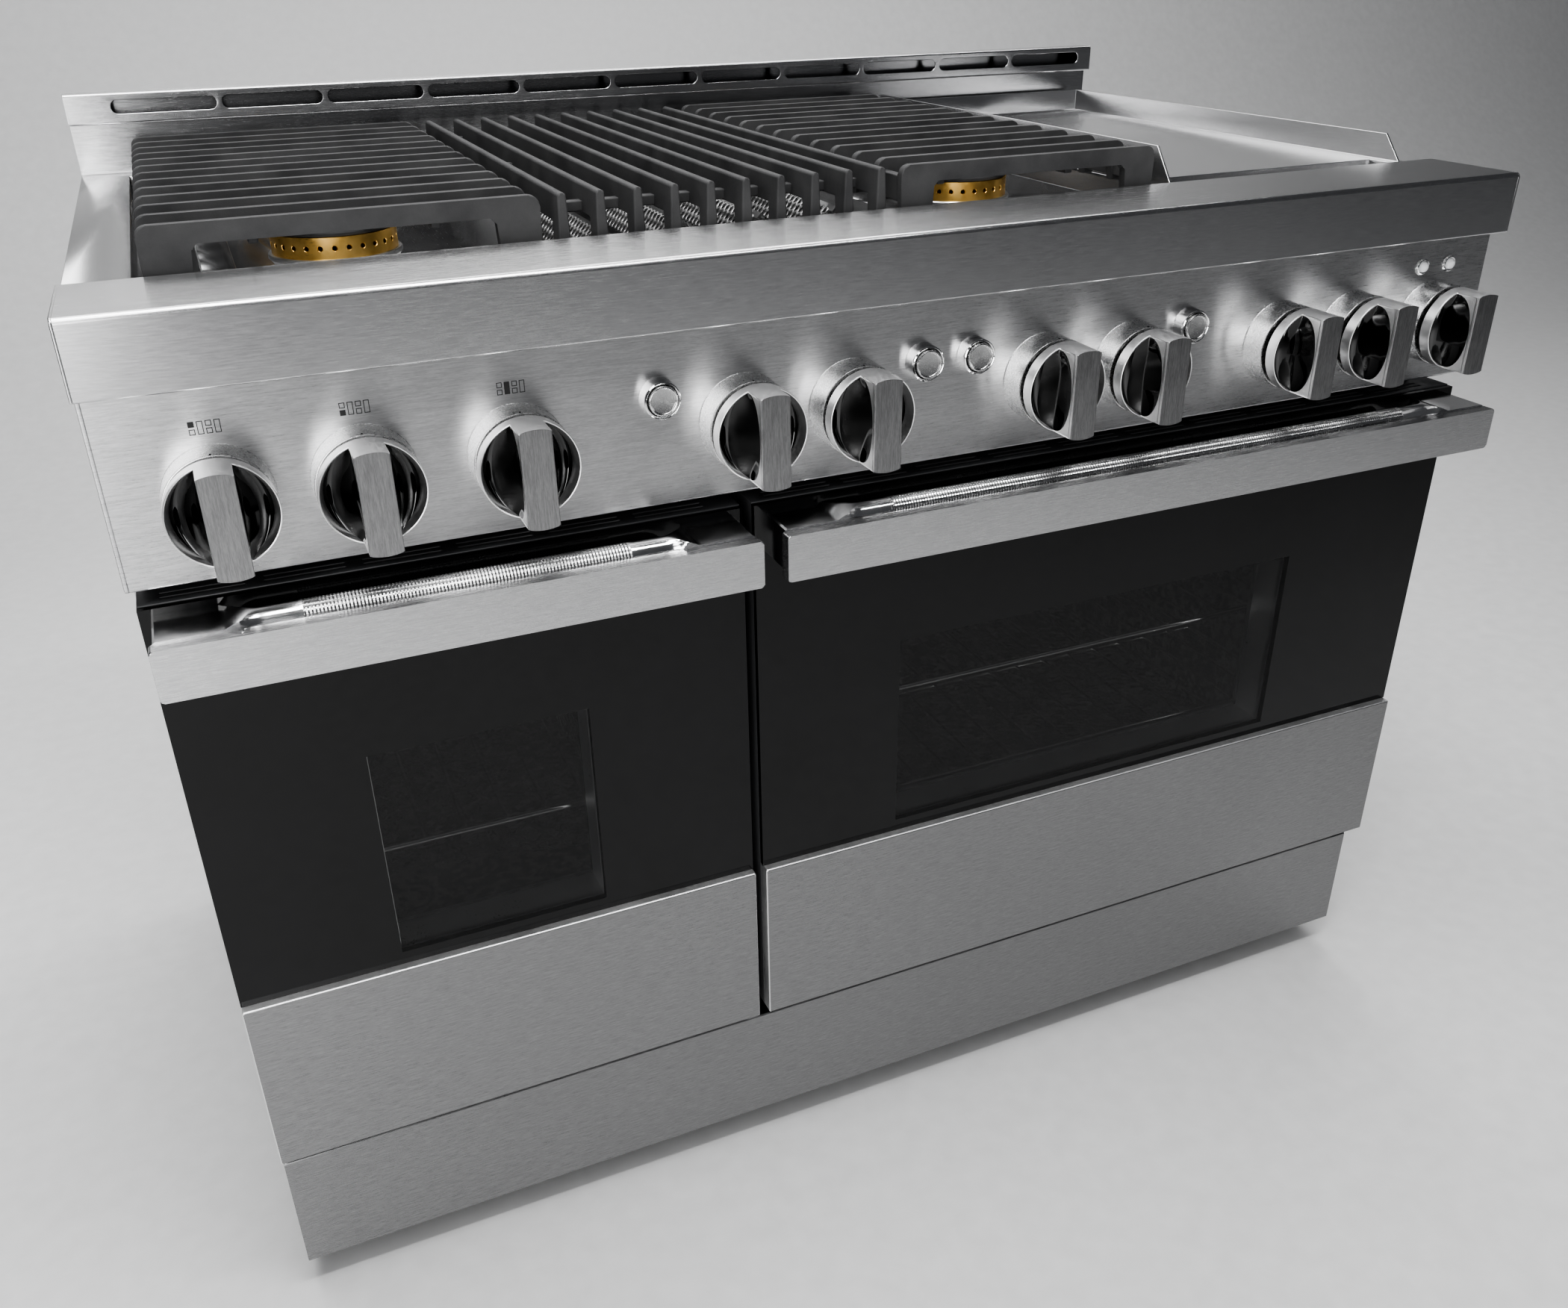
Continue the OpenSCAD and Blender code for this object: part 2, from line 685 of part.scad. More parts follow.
module rack_right_upper() {
    color([0.75, 0.76, 0.77]) placed() rack(1, rack_level[1][1]);
}

// ---------------------------------------------------------------- controls

module control_collars() {
    face = -panel_y;
    front = face + collar_d;
    light_front = face + 4;
    ring = 14.5;
    color([0.80, 0.81, 0.82]) placed() {
        for (x = knob_x)
            turned_y(x, knob_z, [[collar_r - 4, face], [collar_r, face], [collar_r - 0.5, front],
                                 [hub_r + 2, front], [hub_r + 2, front - 2.5], [collar_r - 4, front - 2.5]]);
        for (x = button_x)
            turned_y(x, button_z, [[button_r + fit * 2, face], [ring + 0.5, face], [ring, face + 11],
                                   [ring - 1, face + 12], [button_r + fit * 2, face + 12]]);
        for (x = light_x)
            turned_y(x, light_z, [[5.6, face], [7.5, face], [7, light_front - 2], [5.6, light_front - 2]]);
    }
}

// A knob: a dished disc with a raised rim, a hub that turns on the valve stem, and a grip blade.
module knob(i) {
    back = -panel_y + collar_d + knob_gap;
    disc_front = back + 14;
    rim = 3;
    dish = 2;
    r = collar_r;
    hub_back = -panel_y + 14;
    blade_top = knob_out;
    half = blade_w / 2;
    reach = sqrt(r * r - half * half);
    color([0.78, 0.79, 0.80]) placed() {
        turned_y(knob_x[i], knob_z,
                 [[stem_r + fit, hub_back], [hub_r, hub_back], [hub_r, back], [r - 1.5, back],
                  [r, back + 1.5], [r, disc_front - 1], [r - 1, disc_front], [r - rim, disc_front],
                  [r - rim - 1, disc_front - dish], [stem_r + fit, disc_front - dish]]);
        intersection() {
            span([knob_x[i] - half, -blade_top, knob_z - r],
                 [knob_x[i] + half, -disc_front + dish + 1, knob_z + r]);
            rod_y(-blade_top, -disc_front + dish + 1, knob_x[i], knob_z, r);
        }
    }
}

module knob_1() { knob(0); }
module knob_2() { knob(1); }
module knob_3() { knob(2); }
module knob_4() { knob(3); }
module knob_5() { knob(4); }
module knob_6() { knob(5); }
module knob_7() { knob(6); }
module knob_8() { knob(7); }
module knob_9() { knob(8); }
module knob_10() { knob(9); }

module button(i) {
    face = -panel_y;
    color([0.82, 0.83, 0.84]) placed()
        turned_y(button_x[i], button_z,
                 [[0, -10], [7, -10], [7, face + 4], [button_r, face + 4], [button_r, face + 12.5],
                  [button_r - 1, face + 13.5], [button_r - 2, face + 13.5], [button_r - 2.5, face + 12.5],
                  [0, face + 11.8]]);
}

module button_1() { button(0); }
module button_2() { button(1); }
module button_3() { button(2); }
module button_4() { button(3); }

module indicator_lights() {
    color([0.90, 0.91, 0.93]) placed()
        for (x = light_x)
            turned_y(x, light_z, [[0, -12], [4, -12], [4, 0], [5.4, 0],
                                  [5.4, 4], [4, 5.5], [2, 6.3], [0, 6.5]]);
}

// ---------------------------------------------------------------- doors

module hinge_brackets() {
    color([0.40, 0.41, 0.42]) placed()
        for (i = [0, 1], side = [0, 1]) {
            x = side == 0 ? door_x[i] + hinge_inset : door_x[i] + door_w[i] - hinge_inset - bracket_w;
            difference() {
                union() {
                    rod_x(x, x + bracket_w, hinge_y, hinge_z, 9);
                    span([x, hinge_y, hinge_z - 9], [x + bracket_w, frame_y, hinge_z + 9]);
                }
                rod_x(x - 1, x + bracket_w + 1, hinge_y, hinge_z, pin_r + fit);
            }
        }
}

// The steel body of a door: a folded tray behind the glass, with a pocket round each hinge.
module door_frame(i) {
    x0 = door_x[i];
    x1 = door_x[i] + door_w[i];
    win = window_x[i];
    pocket_x = [x0 + hinge_inset - 4, x1 - hinge_inset - bracket_w - 4];
    wall = 2;
    slot_n = i == 0 ? 6 : 10;
    slot_pitch = (door_w[i] - 30) / slot_n;
    color([0.12, 0.12, 0.13]) placed() {
        difference() {
            span([x0, glass_t, door_bottom], [x1, door_t, door_top]);
            // Hollow behind the glass, left open for the glass and round the window.
            span([x0 + wall, glass_t - 1, door_bottom + 40], [x1 - wall, door_t - 8, door_top - wall]);
            // Window opening through the inner skin, with a step that holds the inner glass.
            span([win[0], 0, window_z[0]], [win[1], door_t + 1, window_z[1]]);
            for (x = pocket_x)
                span([x, 10, door_bottom - 1], [x + hinge_slot_w, door_t + 1, hinge_z + 12]);
            // Vent slots along the top edge.
            for (k = [0 : slot_n - 1], y = [13, 21])
                span([x0 + 15 + k * slot_pitch, y, door_top - 5],
                     [x0 + 15 + k * slot_pitch + slot_pitch * 0.82, y + 3, door_top + 1]);
        }
        // Window reveal and the inner pane.
        difference() {
            span([win[0] - wall, glass_t + 0.2, window_z[0] - wall],
                 [win[1] + wall, door_t - 7, window_z[1] + wall]);
            span([win[0], 0, window_z[0]], [win[1], door_t + 1, window_z[1]]);
        }
        for (x = pocket_x) rod_x(x - 5, x + hinge_slot_w + 5, hinge_y, hinge_z, pin_r);
    }
}

module door_glass(i) {
    x0 = door_x[i];
    win = window_x[i];
    color([0.05, 0.05, 0.06, 0.6]) placed() {
        span([x0, 0, lower_panel_top + 0.2], [x0 + door_w[i], glass_t - eps, door_top - 1]);
        span([win[0] + 0.2, door_t - 6, window_z[0] + 0.2],
             [win[1] - 0.2, door_t - 6 + inner_glass_t, window_z[1] - 0.2]);
    }
}

module lower_panel(i) {
    out = 8;
    t = 1.5;
    color([0.66, 0.67, 0.68]) placed() difference() {
        span([door_x[i], -out, door_bottom], [door_x[i] + door_w[i], glass_t - eps, lower_panel_top]);
        span([door_x[i] + t, -out + t, door_bottom + t],
             [door_x[i] + door_w[i] - t, glass_t + 1, lower_panel_top - t]);
    }
}

module handle_plate(i) {
    x0 = door_x[i] + handle_inset;
    x1 = door_x[i] + door_w[i] - handle_inset;
    r = 3;
    z0 = plate_z0;
    z1 = plate_z0 + handle_plate_h;
    outline = concat(fold(x1 - r, z1 - r, r, 0, 90), fold(x0 + r, z1 - r, r, 90, 180),
                     fold(x0 + r, z0 + r, r, 180, 270), fold(x1 - r, z0 + r, r, 270, 360));
    color([0.72, 0.73, 0.74]) placed() along_y(-handle_out, -handle_out + plate_t, outline);
}

// The round grip behind the plate, and the two posts that carry it off the door.
module handle_bar(i) {
    x0 = door_x[i] + handle_inset + 3;
    x1 = door_x[i] + door_w[i] - handle_inset - 3;
    back = -handle_out + plate_t + eps;
    color([0.80, 0.81, 0.82]) placed() {
        rod_x(x0 + 6, x1 - 6, grip_y, grip_z, grip_r);
        for (x = [x0, x1 - post_w])
            along_x(x, x + post_w, [[back, plate_z0 + 4], [-eps, plate_z0 + 10], [-eps, door_top - 6],
                                    [back + 6, grip_z + grip_r - 1], [back, plate_z0 + handle_plate_h]]);
    }
}

module door_frame_left() { door_frame(0); }
module door_glass_left() { door_glass(0); }
module lower_panel_left() { lower_panel(0); }
module handle_bar_left() { handle_bar(0); }
module handle_plate_left() { handle_plate(0); }
module door_frame_right() { door_frame(1); }
module door_glass_right() { door_glass(1); }
module lower_panel_right() { lower_panel(1); }
module handle_bar_right() { handle_bar(1); }
module handle_plate_right() { handle_plate(1); }

module side_panel_left() { side_panel(side_gap); }
module side_panel_right() { side_panel(overall_w - side_gap - sheet); }

// ---------------------------------------------------------------- what is drawn

base_pan();
side_panel_left();
side_panel_right();
back_panel();
center_divider();
front_frame();
kick_plate();
levelling_legs();
front_rail();
control_panel();
backguard();
cooktop_pan();
oven_liner(0);  // oven_liner_left
oven_liner(1);  // oven_liner_right
oven_burners();
oven_lamps();
rack_left();
rack_right_upper();
rack_right_lower();
gas_manifold();
valve_bodies();
burner_bases();
burner_rings();
burner_caps();
igniters();
grill_burners();
flame_tamers();
grill_box();
grate_left();
grill_grate();
grate_right();
griddle();
control_collars();
knob_1();
knob_2();
knob_3();
knob_4();
knob_5();
knob_6();
knob_7();
knob_8();
knob_9();
knob_10();
button_1();
button_2();
button_3();
button_4();
indicator_lights();
hinge_brackets();
door_frame_left();
door_glass_left();
lower_panel_left();
handle_bar_left();
handle_plate_left();
door_frame_right();
door_glass_right();
lower_panel_right();
handle_bar_right();
handle_plate_right();
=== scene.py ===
"""Looks for the commercial gas range: finishes, rounded edges and detailed pieces on the CAD frame."""

import json
import math

import bmesh
import bpy
from mathutils import Matrix, Vector


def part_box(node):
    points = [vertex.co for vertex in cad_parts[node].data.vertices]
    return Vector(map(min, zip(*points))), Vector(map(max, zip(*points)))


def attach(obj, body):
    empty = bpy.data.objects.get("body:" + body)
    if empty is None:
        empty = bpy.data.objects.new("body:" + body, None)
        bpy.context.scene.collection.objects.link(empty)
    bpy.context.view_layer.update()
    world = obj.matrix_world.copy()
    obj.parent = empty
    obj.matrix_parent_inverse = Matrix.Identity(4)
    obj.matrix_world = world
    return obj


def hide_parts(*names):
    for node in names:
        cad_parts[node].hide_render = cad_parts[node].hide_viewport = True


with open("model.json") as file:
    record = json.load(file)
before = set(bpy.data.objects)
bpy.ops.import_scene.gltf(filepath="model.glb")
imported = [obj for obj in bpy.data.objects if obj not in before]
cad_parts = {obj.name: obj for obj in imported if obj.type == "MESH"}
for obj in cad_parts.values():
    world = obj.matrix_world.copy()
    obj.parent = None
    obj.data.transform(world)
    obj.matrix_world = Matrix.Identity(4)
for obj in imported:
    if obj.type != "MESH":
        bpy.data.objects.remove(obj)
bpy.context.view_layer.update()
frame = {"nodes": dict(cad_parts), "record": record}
scene = bpy.context.scene

# ---- the chassis frame
# Pieces are drawn in millimetres in chassis coordinates: X from the left end of the rail, Y backwards from
# the face of the door glass, Z up from the underside of the kick plate.
ORIGIN = Vector((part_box("front_rail")[0].x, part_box("door_glass_left")[0].y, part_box("kick_plate")[0].z))


def at(x, y, z):
    """A chassis point as a point of the frame, in metres."""
    return ORIGIN + Vector((x, y, z)) / 1000


def extent(node):
    """Lowest and highest corner of a CAD node in chassis millimetres."""
    low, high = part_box(node)
    return (low - ORIGIN) * 1000, (high - ORIGIN) * 1000


def new_object(name, data):
    made = bpy.data.objects.new(name, data)
    scene.collection.objects.link(made)
    return made


# ---- camera, floor and light
def make_camera():
    """The viewpoint that was solved from the straight edges of the range's front."""
    heading, pitch, roll = math.radians(23.038), math.radians(27.760), math.radians(-0.885)
    eye = at(86.4, -937.8, 1069.2)
    camera = new_object("camera", bpy.data.cameras.new("camera"))
    camera.data.sensor_width = 36
    camera.data.lens = 30.94
    camera.data.clip_start = 0.05
    camera.data.clip_end = 60
    turn = (Matrix.Rotation(-heading, 4, "Z") @ Matrix.Rotation(math.pi / 2 - pitch, 4, "X")
            @ Matrix.Rotation(roll, 4, "Z"))
    camera.matrix_world = Matrix.Translation(eye) @ turn
    scene.camera = camera


def make_light(name, place, target, size, power, colour=(1, 1, 1)):
    data = bpy.data.lights.new(name, "AREA")
    data.shape = "RECTANGLE"
    data.size, data.size_y = size
    data.energy = power
    data.color = colour
    light = new_object(name, data)
    light.location = place
    light.rotation_euler = (Vector(target) - Vector(place)).to_track_quat("-Z", "Y").to_euler()


make_camera()

# ---- finishes
class Finish:
    """A procedural material being built up node by node."""

    def __init__(self, name, colour, **sockets):
        self.material = bpy.data.materials.new(name)
        self.material.use_nodes = True
        self.tree = self.material.node_tree
        self.shader = self.tree.nodes["Principled BSDF"]
        self.shader.inputs["Base Color"].default_value = (*colour, 1)
        for key, value in sockets.items():
            self.shader.inputs[key.replace("_", " ")].default_value = value
        self.place = self.node("ShaderNodeTexCoord").outputs["Object"]
        self.normal = None

    def node(self, kind, inputs=None, **settings):
        """A new node. An input is given a number or colour, or is wired where it is given a socket."""
        made = self.tree.nodes.new(kind)
        for key, value in settings.items():
            setattr(made, key, value)
        for key, value in (inputs or {}).items():
            if isinstance(value, bpy.types.NodeSocket):
                self.wire(value, made.inputs[key])
            else:
                made.inputs[key].default_value = value
        return made

    def wire(self, source, target):
        self.tree.links.new(source, target)

    def noise(self, density, detail=2.0, roughness=0.5):
        """Noise with that many features per metre: one number, or one each for X, Y and Z."""
        scale = density if isinstance(density, tuple) else (density,) * 3
        mapping = self.node("ShaderNodeMapping", {"Vector": self.place, "Scale": scale})
        inputs = {"Vector": mapping.outputs["Vector"], "Scale": 1, "Detail": detail, "Roughness": roughness}
        return self.node("ShaderNodeTexNoise", inputs).outputs["Fac"]

    def remap(self, value, low, high, start=0.3, end=0.7):
        """Noise values from start to end become low to high."""
        inputs = {"Value": value, "From Min": start, "From Max": end, "To Min": low, "To Max": high}
        return self.node("ShaderNodeMapRange", inputs).outputs["Result"]

    def sum(self, first, second):
        return self.node("ShaderNodeMath", {0: first, 1: second}, operation="ADD").outputs[0]

    def times(self, first, second):
        return self.node("ShaderNodeMath", {0: first, 1: second}, operation="MULTIPLY").outputs[0]

    def blend(self, value, first, second):
        """Colour first where value is 0, second where it is 1."""
        inputs = {0: value, 6: (*first, 1), 7: (*second, 1)}
        return self.node("ShaderNodeMix", inputs, data_type="RGBA").outputs[2]

    def colour(self, source):
        self.wire(source, self.shader.inputs["Base Color"])

    def mottle(self, value, first, second):
        """Colours the piece from first to second as the noise rises."""
        self.colour(self.blend(self.remap(value, 0, 1), first, second))

    def roughness(self, source):
        self.wire(source, self.shader.inputs["Roughness"])

    def bump(self, height, strength, distance):
        made = self.node("ShaderNodeBump", {"Height": height, "Strength": strength, "Distance": distance})
        if self.normal is not None:
            self.wire(self.normal, made.inputs["Normal"])
        self.normal = made.outputs["Normal"]
        self.wire(self.normal, self.shader.inputs["Normal"])

    def tangent(self, axis):
        made = self.node("ShaderNodeTangent", direction_type="RADIAL", axis=axis)
        self.wire(made.outputs["Tangent"], self.shader.inputs["Tangent"])


def scaled(colour, share):
    """A colour made darker or lighter, with no part above 1."""
    return tuple(min(1.0, c * share) for c in colour)


def brushed(name, grain, tone=0.60, rough=0.27, contrast=1.0):
    """Stainless steel with a straight brushed grain along one axis."""
    finish = Finish(name, (tone,) * 3, Metallic=1.0, Anisotropic=0.7)
    long, fine, hair, strength = 55, 900, 2300, 0.02
    lines = {"X": (long, fine, fine), "Y": (fine, long, fine), "Z": (fine, fine, long)}[grain]
    hairs = tuple(v * 4 if v == long else hair for v in lines)
    coarse = finish.noise(lines, detail=5, roughness=0.8)
    thin = finish.noise(hairs, detail=2)
    cloud = finish.noise(2.2, detail=3)
    finish.roughness(finish.sum(finish.remap(coarse, rough - 0.035 * contrast, rough + 0.035 * contrast),
                                finish.remap(cloud, -0.03, 0.04)))
    shade = finish.sum(finish.times(finish.remap(coarse, 0, 1, 0.4, 0.6), 0.6),
                       finish.times(finish.remap(thin, 0, 1), 0.4))
    dark, light = tone * (1 - 0.15 * contrast), min(1.0, tone * (1 + 0.12 * contrast))
    finish.colour(finish.blend(shade, (dark, dark, dark * 1.01), (light, light, light * 1.005)))
    finish.bump(coarse, strength * contrast, 0.0004)
    finish.bump(thin, strength * 0.6 * contrast, 0.0002)
    finish.tangent(grain)
    return finish.material


def polished(name, tone, rough=0.05):
    """Chrome or another bright polished metal, with faint smears and a slight ripple."""
    finish = Finish(name, (tone,) * 3, Metallic=1.0)
    smear = finish.noise(22, detail=4, roughness=0.6)
    finish.roughness(finish.remap(smear, rough * 0.6, rough * 1.8))
    finish.mottle(smear, scaled((tone,) * 3, 0.93), scaled((tone,) * 3, 1.05))
    finish.bump(finish.noise(35, detail=1), 0.02, 0.002)
    return finish.material


def spun(name, tone=0.62):
    """A turned face: fine rings round the axis of the piece."""
    finish = Finish(name, (tone,) * 3, Metallic=1.0, Anisotropic=0.85, Anisotropic_Rotation=0.25)
    rings = finish.noise((900, 3, 900), detail=2)
    finish.roughness(finish.remap(rings, 0.18, 0.30))
    finish.mottle(rings, (tone * 0.9,) * 3, (tone * 1.1,) * 3)
    finish.tangent("Y")
    return finish.material


def cast_iron(name, tone):
    finish = Finish(name, (tone,) * 3, Specular_IOR_Level=0.35)
    grit = finish.noise(1500, detail=3, roughness=0.6)
    patch = finish.noise(26, detail=4)
    finish.mottle(patch, (tone * 0.78, tone * 0.78, tone * 0.80), (tone * 1.35, tone * 1.35, tone * 1.36))
    finish.roughness(finish.sum(finish.remap(grit, 0.55, 0.72), finish.remap(patch, -0.05, 0.07)))
    finish.bump(grit, 0.35, 0.0004)
    finish.bump(finish.noise(260, detail=2), 0.12, 0.001)
    return finish.material


def enamel(name, colour, rough=0.18, speck=None, coat=0.3):
    """Glossy baked enamel, with fine specks where a second colour is given."""
    finish = Finish(name, colour, Coat_Weight=coat, Coat_Roughness=0.08)
    ripple = finish.noise(130, detail=2)
    cloud = finish.noise(9, detail=3)
    finish.roughness(finish.sum(finish.remap(ripple, rough * 0.8, rough * 1.25),
                                finish.remap(cloud, -0.02, 0.02)))
    if speck:
        dots = finish.noise(1100, detail=0)
        finish.colour(finish.blend(finish.remap(dots, 0, 1, 0.66, 0.72), colour, speck))
    else:
        finish.mottle(cloud, scaled(colour, 0.92), scaled(colour, 1.08))
    finish.bump(ripple, 0.04, 0.001)
    return finish.material


def bare_metal(name, tone, rough=0.4, tint=(1, 1, 1)):
    """Rolled or cast metal without a brushed grain."""
    colour = scaled(tint, tone)
    finish = Finish(name, colour, Metallic=1.0)
    grain = finish.noise(500, detail=3)
    patch = finish.noise(14, detail=4, roughness=0.6)
    finish.roughness(finish.sum(finish.remap(grain, rough - 0.06, rough + 0.06),
                                finish.remap(patch, -0.03, 0.03)))
    finish.mottle(patch, scaled(colour, 0.95), scaled(colour, 1.04))
    finish.bump(grain, 0.12, 0.0004)
    return finish.material


def brass(name):
    finish = Finish(name, (0.8, 0.5, 0.17), Metallic=1.0)
    patch = finish.noise(60, detail=3, roughness=0.6)
    lines = finish.noise((90, 90, 2600), detail=2)
    finish.mottle(patch, (0.86, 0.54, 0.17), (0.98, 0.68, 0.27))
    finish.roughness(finish.sum(finish.remap(lines, 0.28, 0.38), finish.remap(patch, -0.03, 0.04)))
    finish.bump(lines, 0.03, 0.0003)
    return finish.material


def black_glass(name, alpha=1.0, specular=0.5, tone=0.006):
    """Door glass: printed black, or tinted clear where alpha is below 1."""
    finish = Finish(name, (tone, tone, tone * 1.05), Specular_IOR_Level=specular, Alpha=alpha)
    smear = finish.noise(7, detail=5, roughness=0.6)
    finish.roughness(finish.remap(smear, 0.015, 0.05))
    finish.mottle(smear, (tone * 0.8,) * 3, (tone * 1.3, tone * 1.3, tone * 1.4))
    return finish.material


def plain(name, colour, rough=0.5, **sockets):
    finish = Finish(name, colour, **sockets)
    cloud = finish.noise(40, detail=3)
    finish.roughness(finish.remap(cloud, rough * 0.85, rough * 1.15))
    finish.mottle(cloud, scaled(colour, 0.97), scaled(colour, 1.03))
    return finish.material


STEEL_X = brushed("steel_brushed_wide", "X")
STEEL_PANEL = brushed("steel_brushed_panel", "X", tone=0.58, rough=0.30, contrast=1.2)
STEEL_RAIL = brushed("steel_brushed_rail", "X", tone=0.62, rough=0.24, contrast=0.9)
STEEL_Z = brushed("steel_brushed_upright", "Z", tone=0.60, rough=0.30)
SHEET = bare_metal("steel_sheet", 0.52, rough=0.36)
CHROME = polished("chrome", 0.82)
# Chrome painted nearly black for the knob bowls: a painted dark reflection.
CHROME_PAINTED_DARK_REFLECTION = polished("chrome_painted_dark_reflection", 0.085, rough=0.05)
GRIP_CHROME = polished("chrome_handle", 0.88, rough=0.13)
KNURL = bare_metal("steel_knurled", 0.58, rough=0.24)
SPUN = spun("steel_spun")
COLLAR = bare_metal("steel_collar", 0.80, rough=0.28)
SATIN = bare_metal("steel_satin", 0.92, rough=0.38)
FROST = bare_metal("steel_edge", 0.90, rough=0.48)
STEEL_GRIP = brushed("steel_brushed_grip", "Z", tone=0.33, rough=0.33, contrast=1.6)
# A darker copy of the brushed steel: painted shade on the kick plate and the fronts of the lower panels.
STEEL_LOWER_PAINTED_SHADE = brushed("steel_brushed_lower_painted_shade", "X", tone=0.30, rough=0.30, contrast=1.3)
STEEL_TRIM = brushed("steel_brushed_trim", "Y", tone=0.56, rough=0.24, contrast=0.45)
IRON = cast_iron("cast_iron", 0.062)
CAP = cast_iron("enamel_cap", 0.055)
TAMER = bare_metal("steel_flame_plate", 0.42, rough=0.42)
BLACK = enamel("enamel_black", (0.012, 0.012, 0.013))
DOOR = enamel("door_satin_black", (0.085, 0.086, 0.089), rough=0.38, coat=0.1)
OVEN = enamel("enamel_oven", (0.030, 0.032, 0.036), rough=0.26, speck=(0.20, 0.21, 0.22))
BRASS = brass("brass_burner")
ALUMINIUM = bare_metal("aluminium_cast", 0.66, rough=0.33)
PIPE = bare_metal("pipe_steel", 0.42, rough=0.38)
VALVE = bare_metal("valve_brass", 0.62, rough=0.32, tint=(1, 0.80, 0.48))
GLASS = black_glass("glass_black")
WINDOW = black_glass("glass_window", alpha=0.32, specular=1.0)
LINING = bare_metal("steel_lining", 0.78, rough=0.34)
INNER = black_glass("glass_inner", alpha=0.10, specular=0.8, tone=0.02)
CERAMIC = plain("ceramic_white", (0.80, 0.78, 0.72), rough=0.3)
LAMP = plain("lamp_glass", (0.85, 0.83, 0.76), rough=0.15)
DOME = plain("light_dome", (0.80, 0.81, 0.82), rough=0.06)
INK = plain("ink_dark", (0.03, 0.03, 0.03), rough=0.45)
# Near-black: painted shade in the knob grooves and inside the backguard, and the real index marks on the
# collars.
SHADE_AND_MARK_BLACK = plain("painted_shade_and_mark_black", (0.004, 0.004, 0.004), rough=0.85, Specular_IOR_Level=0.04)
FLOOR = plain("floor_pale", (0.70, 0.70, 0.70), rough=0.55)

# ---- mesh building
def shade_smooth(mesh):
    mesh.polygons.foreach_set("use_smooth", [True] * len(mesh.polygons))


class Shape:
    """A mesh being built up in chassis millimetres."""

    def __init__(self):
        self.bm = bmesh.new()
        self.paint = 0

    def add(self, points, faces):
        verts = [self.bm.verts.new(p) for p in points]
        made = [self.bm.faces.new([verts[i] for i in face]) for face in faces]
        for face in made:
            face.material_index = self.paint
        return verts, made

    def soften(self, edges, width, segments=2):
        bmesh.ops.bevel(self.bm, geom=list(set(edges)), offset=width, segments=segments, profile=0.5,
                        affect="EDGES", clamp_overlap=True, material=-1)

    def box(self, low, high, rounding=0.0, segments=2):
        points = [(x, y, z) for x in (low[0], high[0]) for y in (low[1], high[1]) for z in (low[2], high[2])]
        quads = [(0, 1, 3, 2), (4, 6, 7, 5), (0, 4, 5, 1), (2, 3, 7, 6), (0, 2, 6, 4), (1, 5, 7, 3)]
        made = self.add(points, quads)[1]
        if rounding:
            self.soften([e for f in made for e in f.edges], rounding, segments)

    def border(self, x0, x1, z0, z1, y0, y1, line):
        """Four bars of one width inside the edge of an upright rectangle."""
        self.box((x0, y0, z0), (x1, y1, z0 + line))
        self.box((x0, y0, z1 - line), (x1, y1, z1))
        self.box((x0, y0, z0 + line), (x0 + line, y1, z1 - line))
        self.box((x1 - line, y0, z0 + line), (x1, y1, z1 - line))

    def loft(self, rings, caps=True, loop=False):
        """Joins rings of equally many points; loop also joins the last ring to the first."""
        count = len(rings[0])
        points = [p for ring in rings for p in ring]
        spans = len(rings) if loop else len(rings) - 1
        faces = []
        for i in range(spans):
            a, b = i * count, (i + 1) % len(rings) * count
            faces += [(a + k, a + (k + 1) % count, b + (k + 1) % count, b + k) for k in range(count)]
        if caps and not loop:
            faces.append(tuple(reversed(range(count))))
            faces.append(tuple(range((len(rings) - 1) * count, len(rings) * count)))
        return self.add(points, faces)

    def prism(self, axis, start, end, outline, rounding=0.0, segments=2):
        """An outline in the other two axes, drawn out along one axis; rounding softens both rims."""
        def ring(a):
            if axis == "X":
                return [(a, p, q) for p, q in outline]
            if axis == "Y":
                return [(p, a, q) for p, q in outline]
            return [(p, q, a) for p, q in outline]
        made = self.loft([ring(start), ring(end)])[1]
        if rounding:
            self.soften([e for f in made[-2:] for e in f.edges], rounding, segments)
        return made

    def spin(self, profile, segments, place):
        """Turns a profile full circle; place puts a point that is across, up and along the axis."""
        turns = [2 * math.pi * k / segments for k in range(segments)]
        rings = [[place(radius * math.cos(a), radius * math.sin(a), along) for a in turns]
                 for radius, along in profile]
        verts = self.loft(rings, loop=True)[0]
        bmesh.ops.remove_doubles(self.bm, verts=verts, dist=1e-4)

    def turned(self, x, z, profile, segments=72):
        """A shape turned about a front to back axis: profile is [radius, distance in front of the doors]."""
        self.spin(profile, segments, lambda across, up, out: (x + across, -out, z + up))

    def standing(self, x, y, profile, segments=72):
        """A shape turned about an upright axis: profile is [radius, height]."""
        self.spin(profile, segments, lambda across, back, height: (x + across, y + back, height))

    def finish(self, name, body, slot, finishes, sharp=32, stands_for=()):
        """Makes the object, rides it on its body and hides the CAD nodes it stands for."""
        bmesh.ops.dissolve_degenerate(self.bm, dist=1e-5, edges=self.bm.edges)
        bmesh.ops.recalc_face_normals(self.bm, faces=self.bm.faces)
        for vertex in self.bm.verts:
            vertex.co = at(*vertex.co)
        mesh = bpy.data.meshes.new(name)
        self.bm.to_mesh(mesh)
        self.bm.free()
        for material in finishes:
            mesh.materials.append(material)
        shade_smooth(mesh)
        mesh.set_sharp_from_angle(angle=math.radians(sharp))
        made = new_object(name, mesh)
        flats = made.modifiers.new("flats", "WEIGHTED_NORMAL")
        flats.keep_sharp = True
        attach(made, body)
        if stands_for:
            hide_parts(*stands_for)
        return made


def arc(cx, cy, radius, start, end, steps=6):
    """Points of an arc, with angles in degrees."""
    angles = [math.radians(start + (end - start) * i / steps) for i in range(steps + 1)]
    return [(cx + radius * math.cos(a), cy + radius * math.sin(a)) for a in angles]


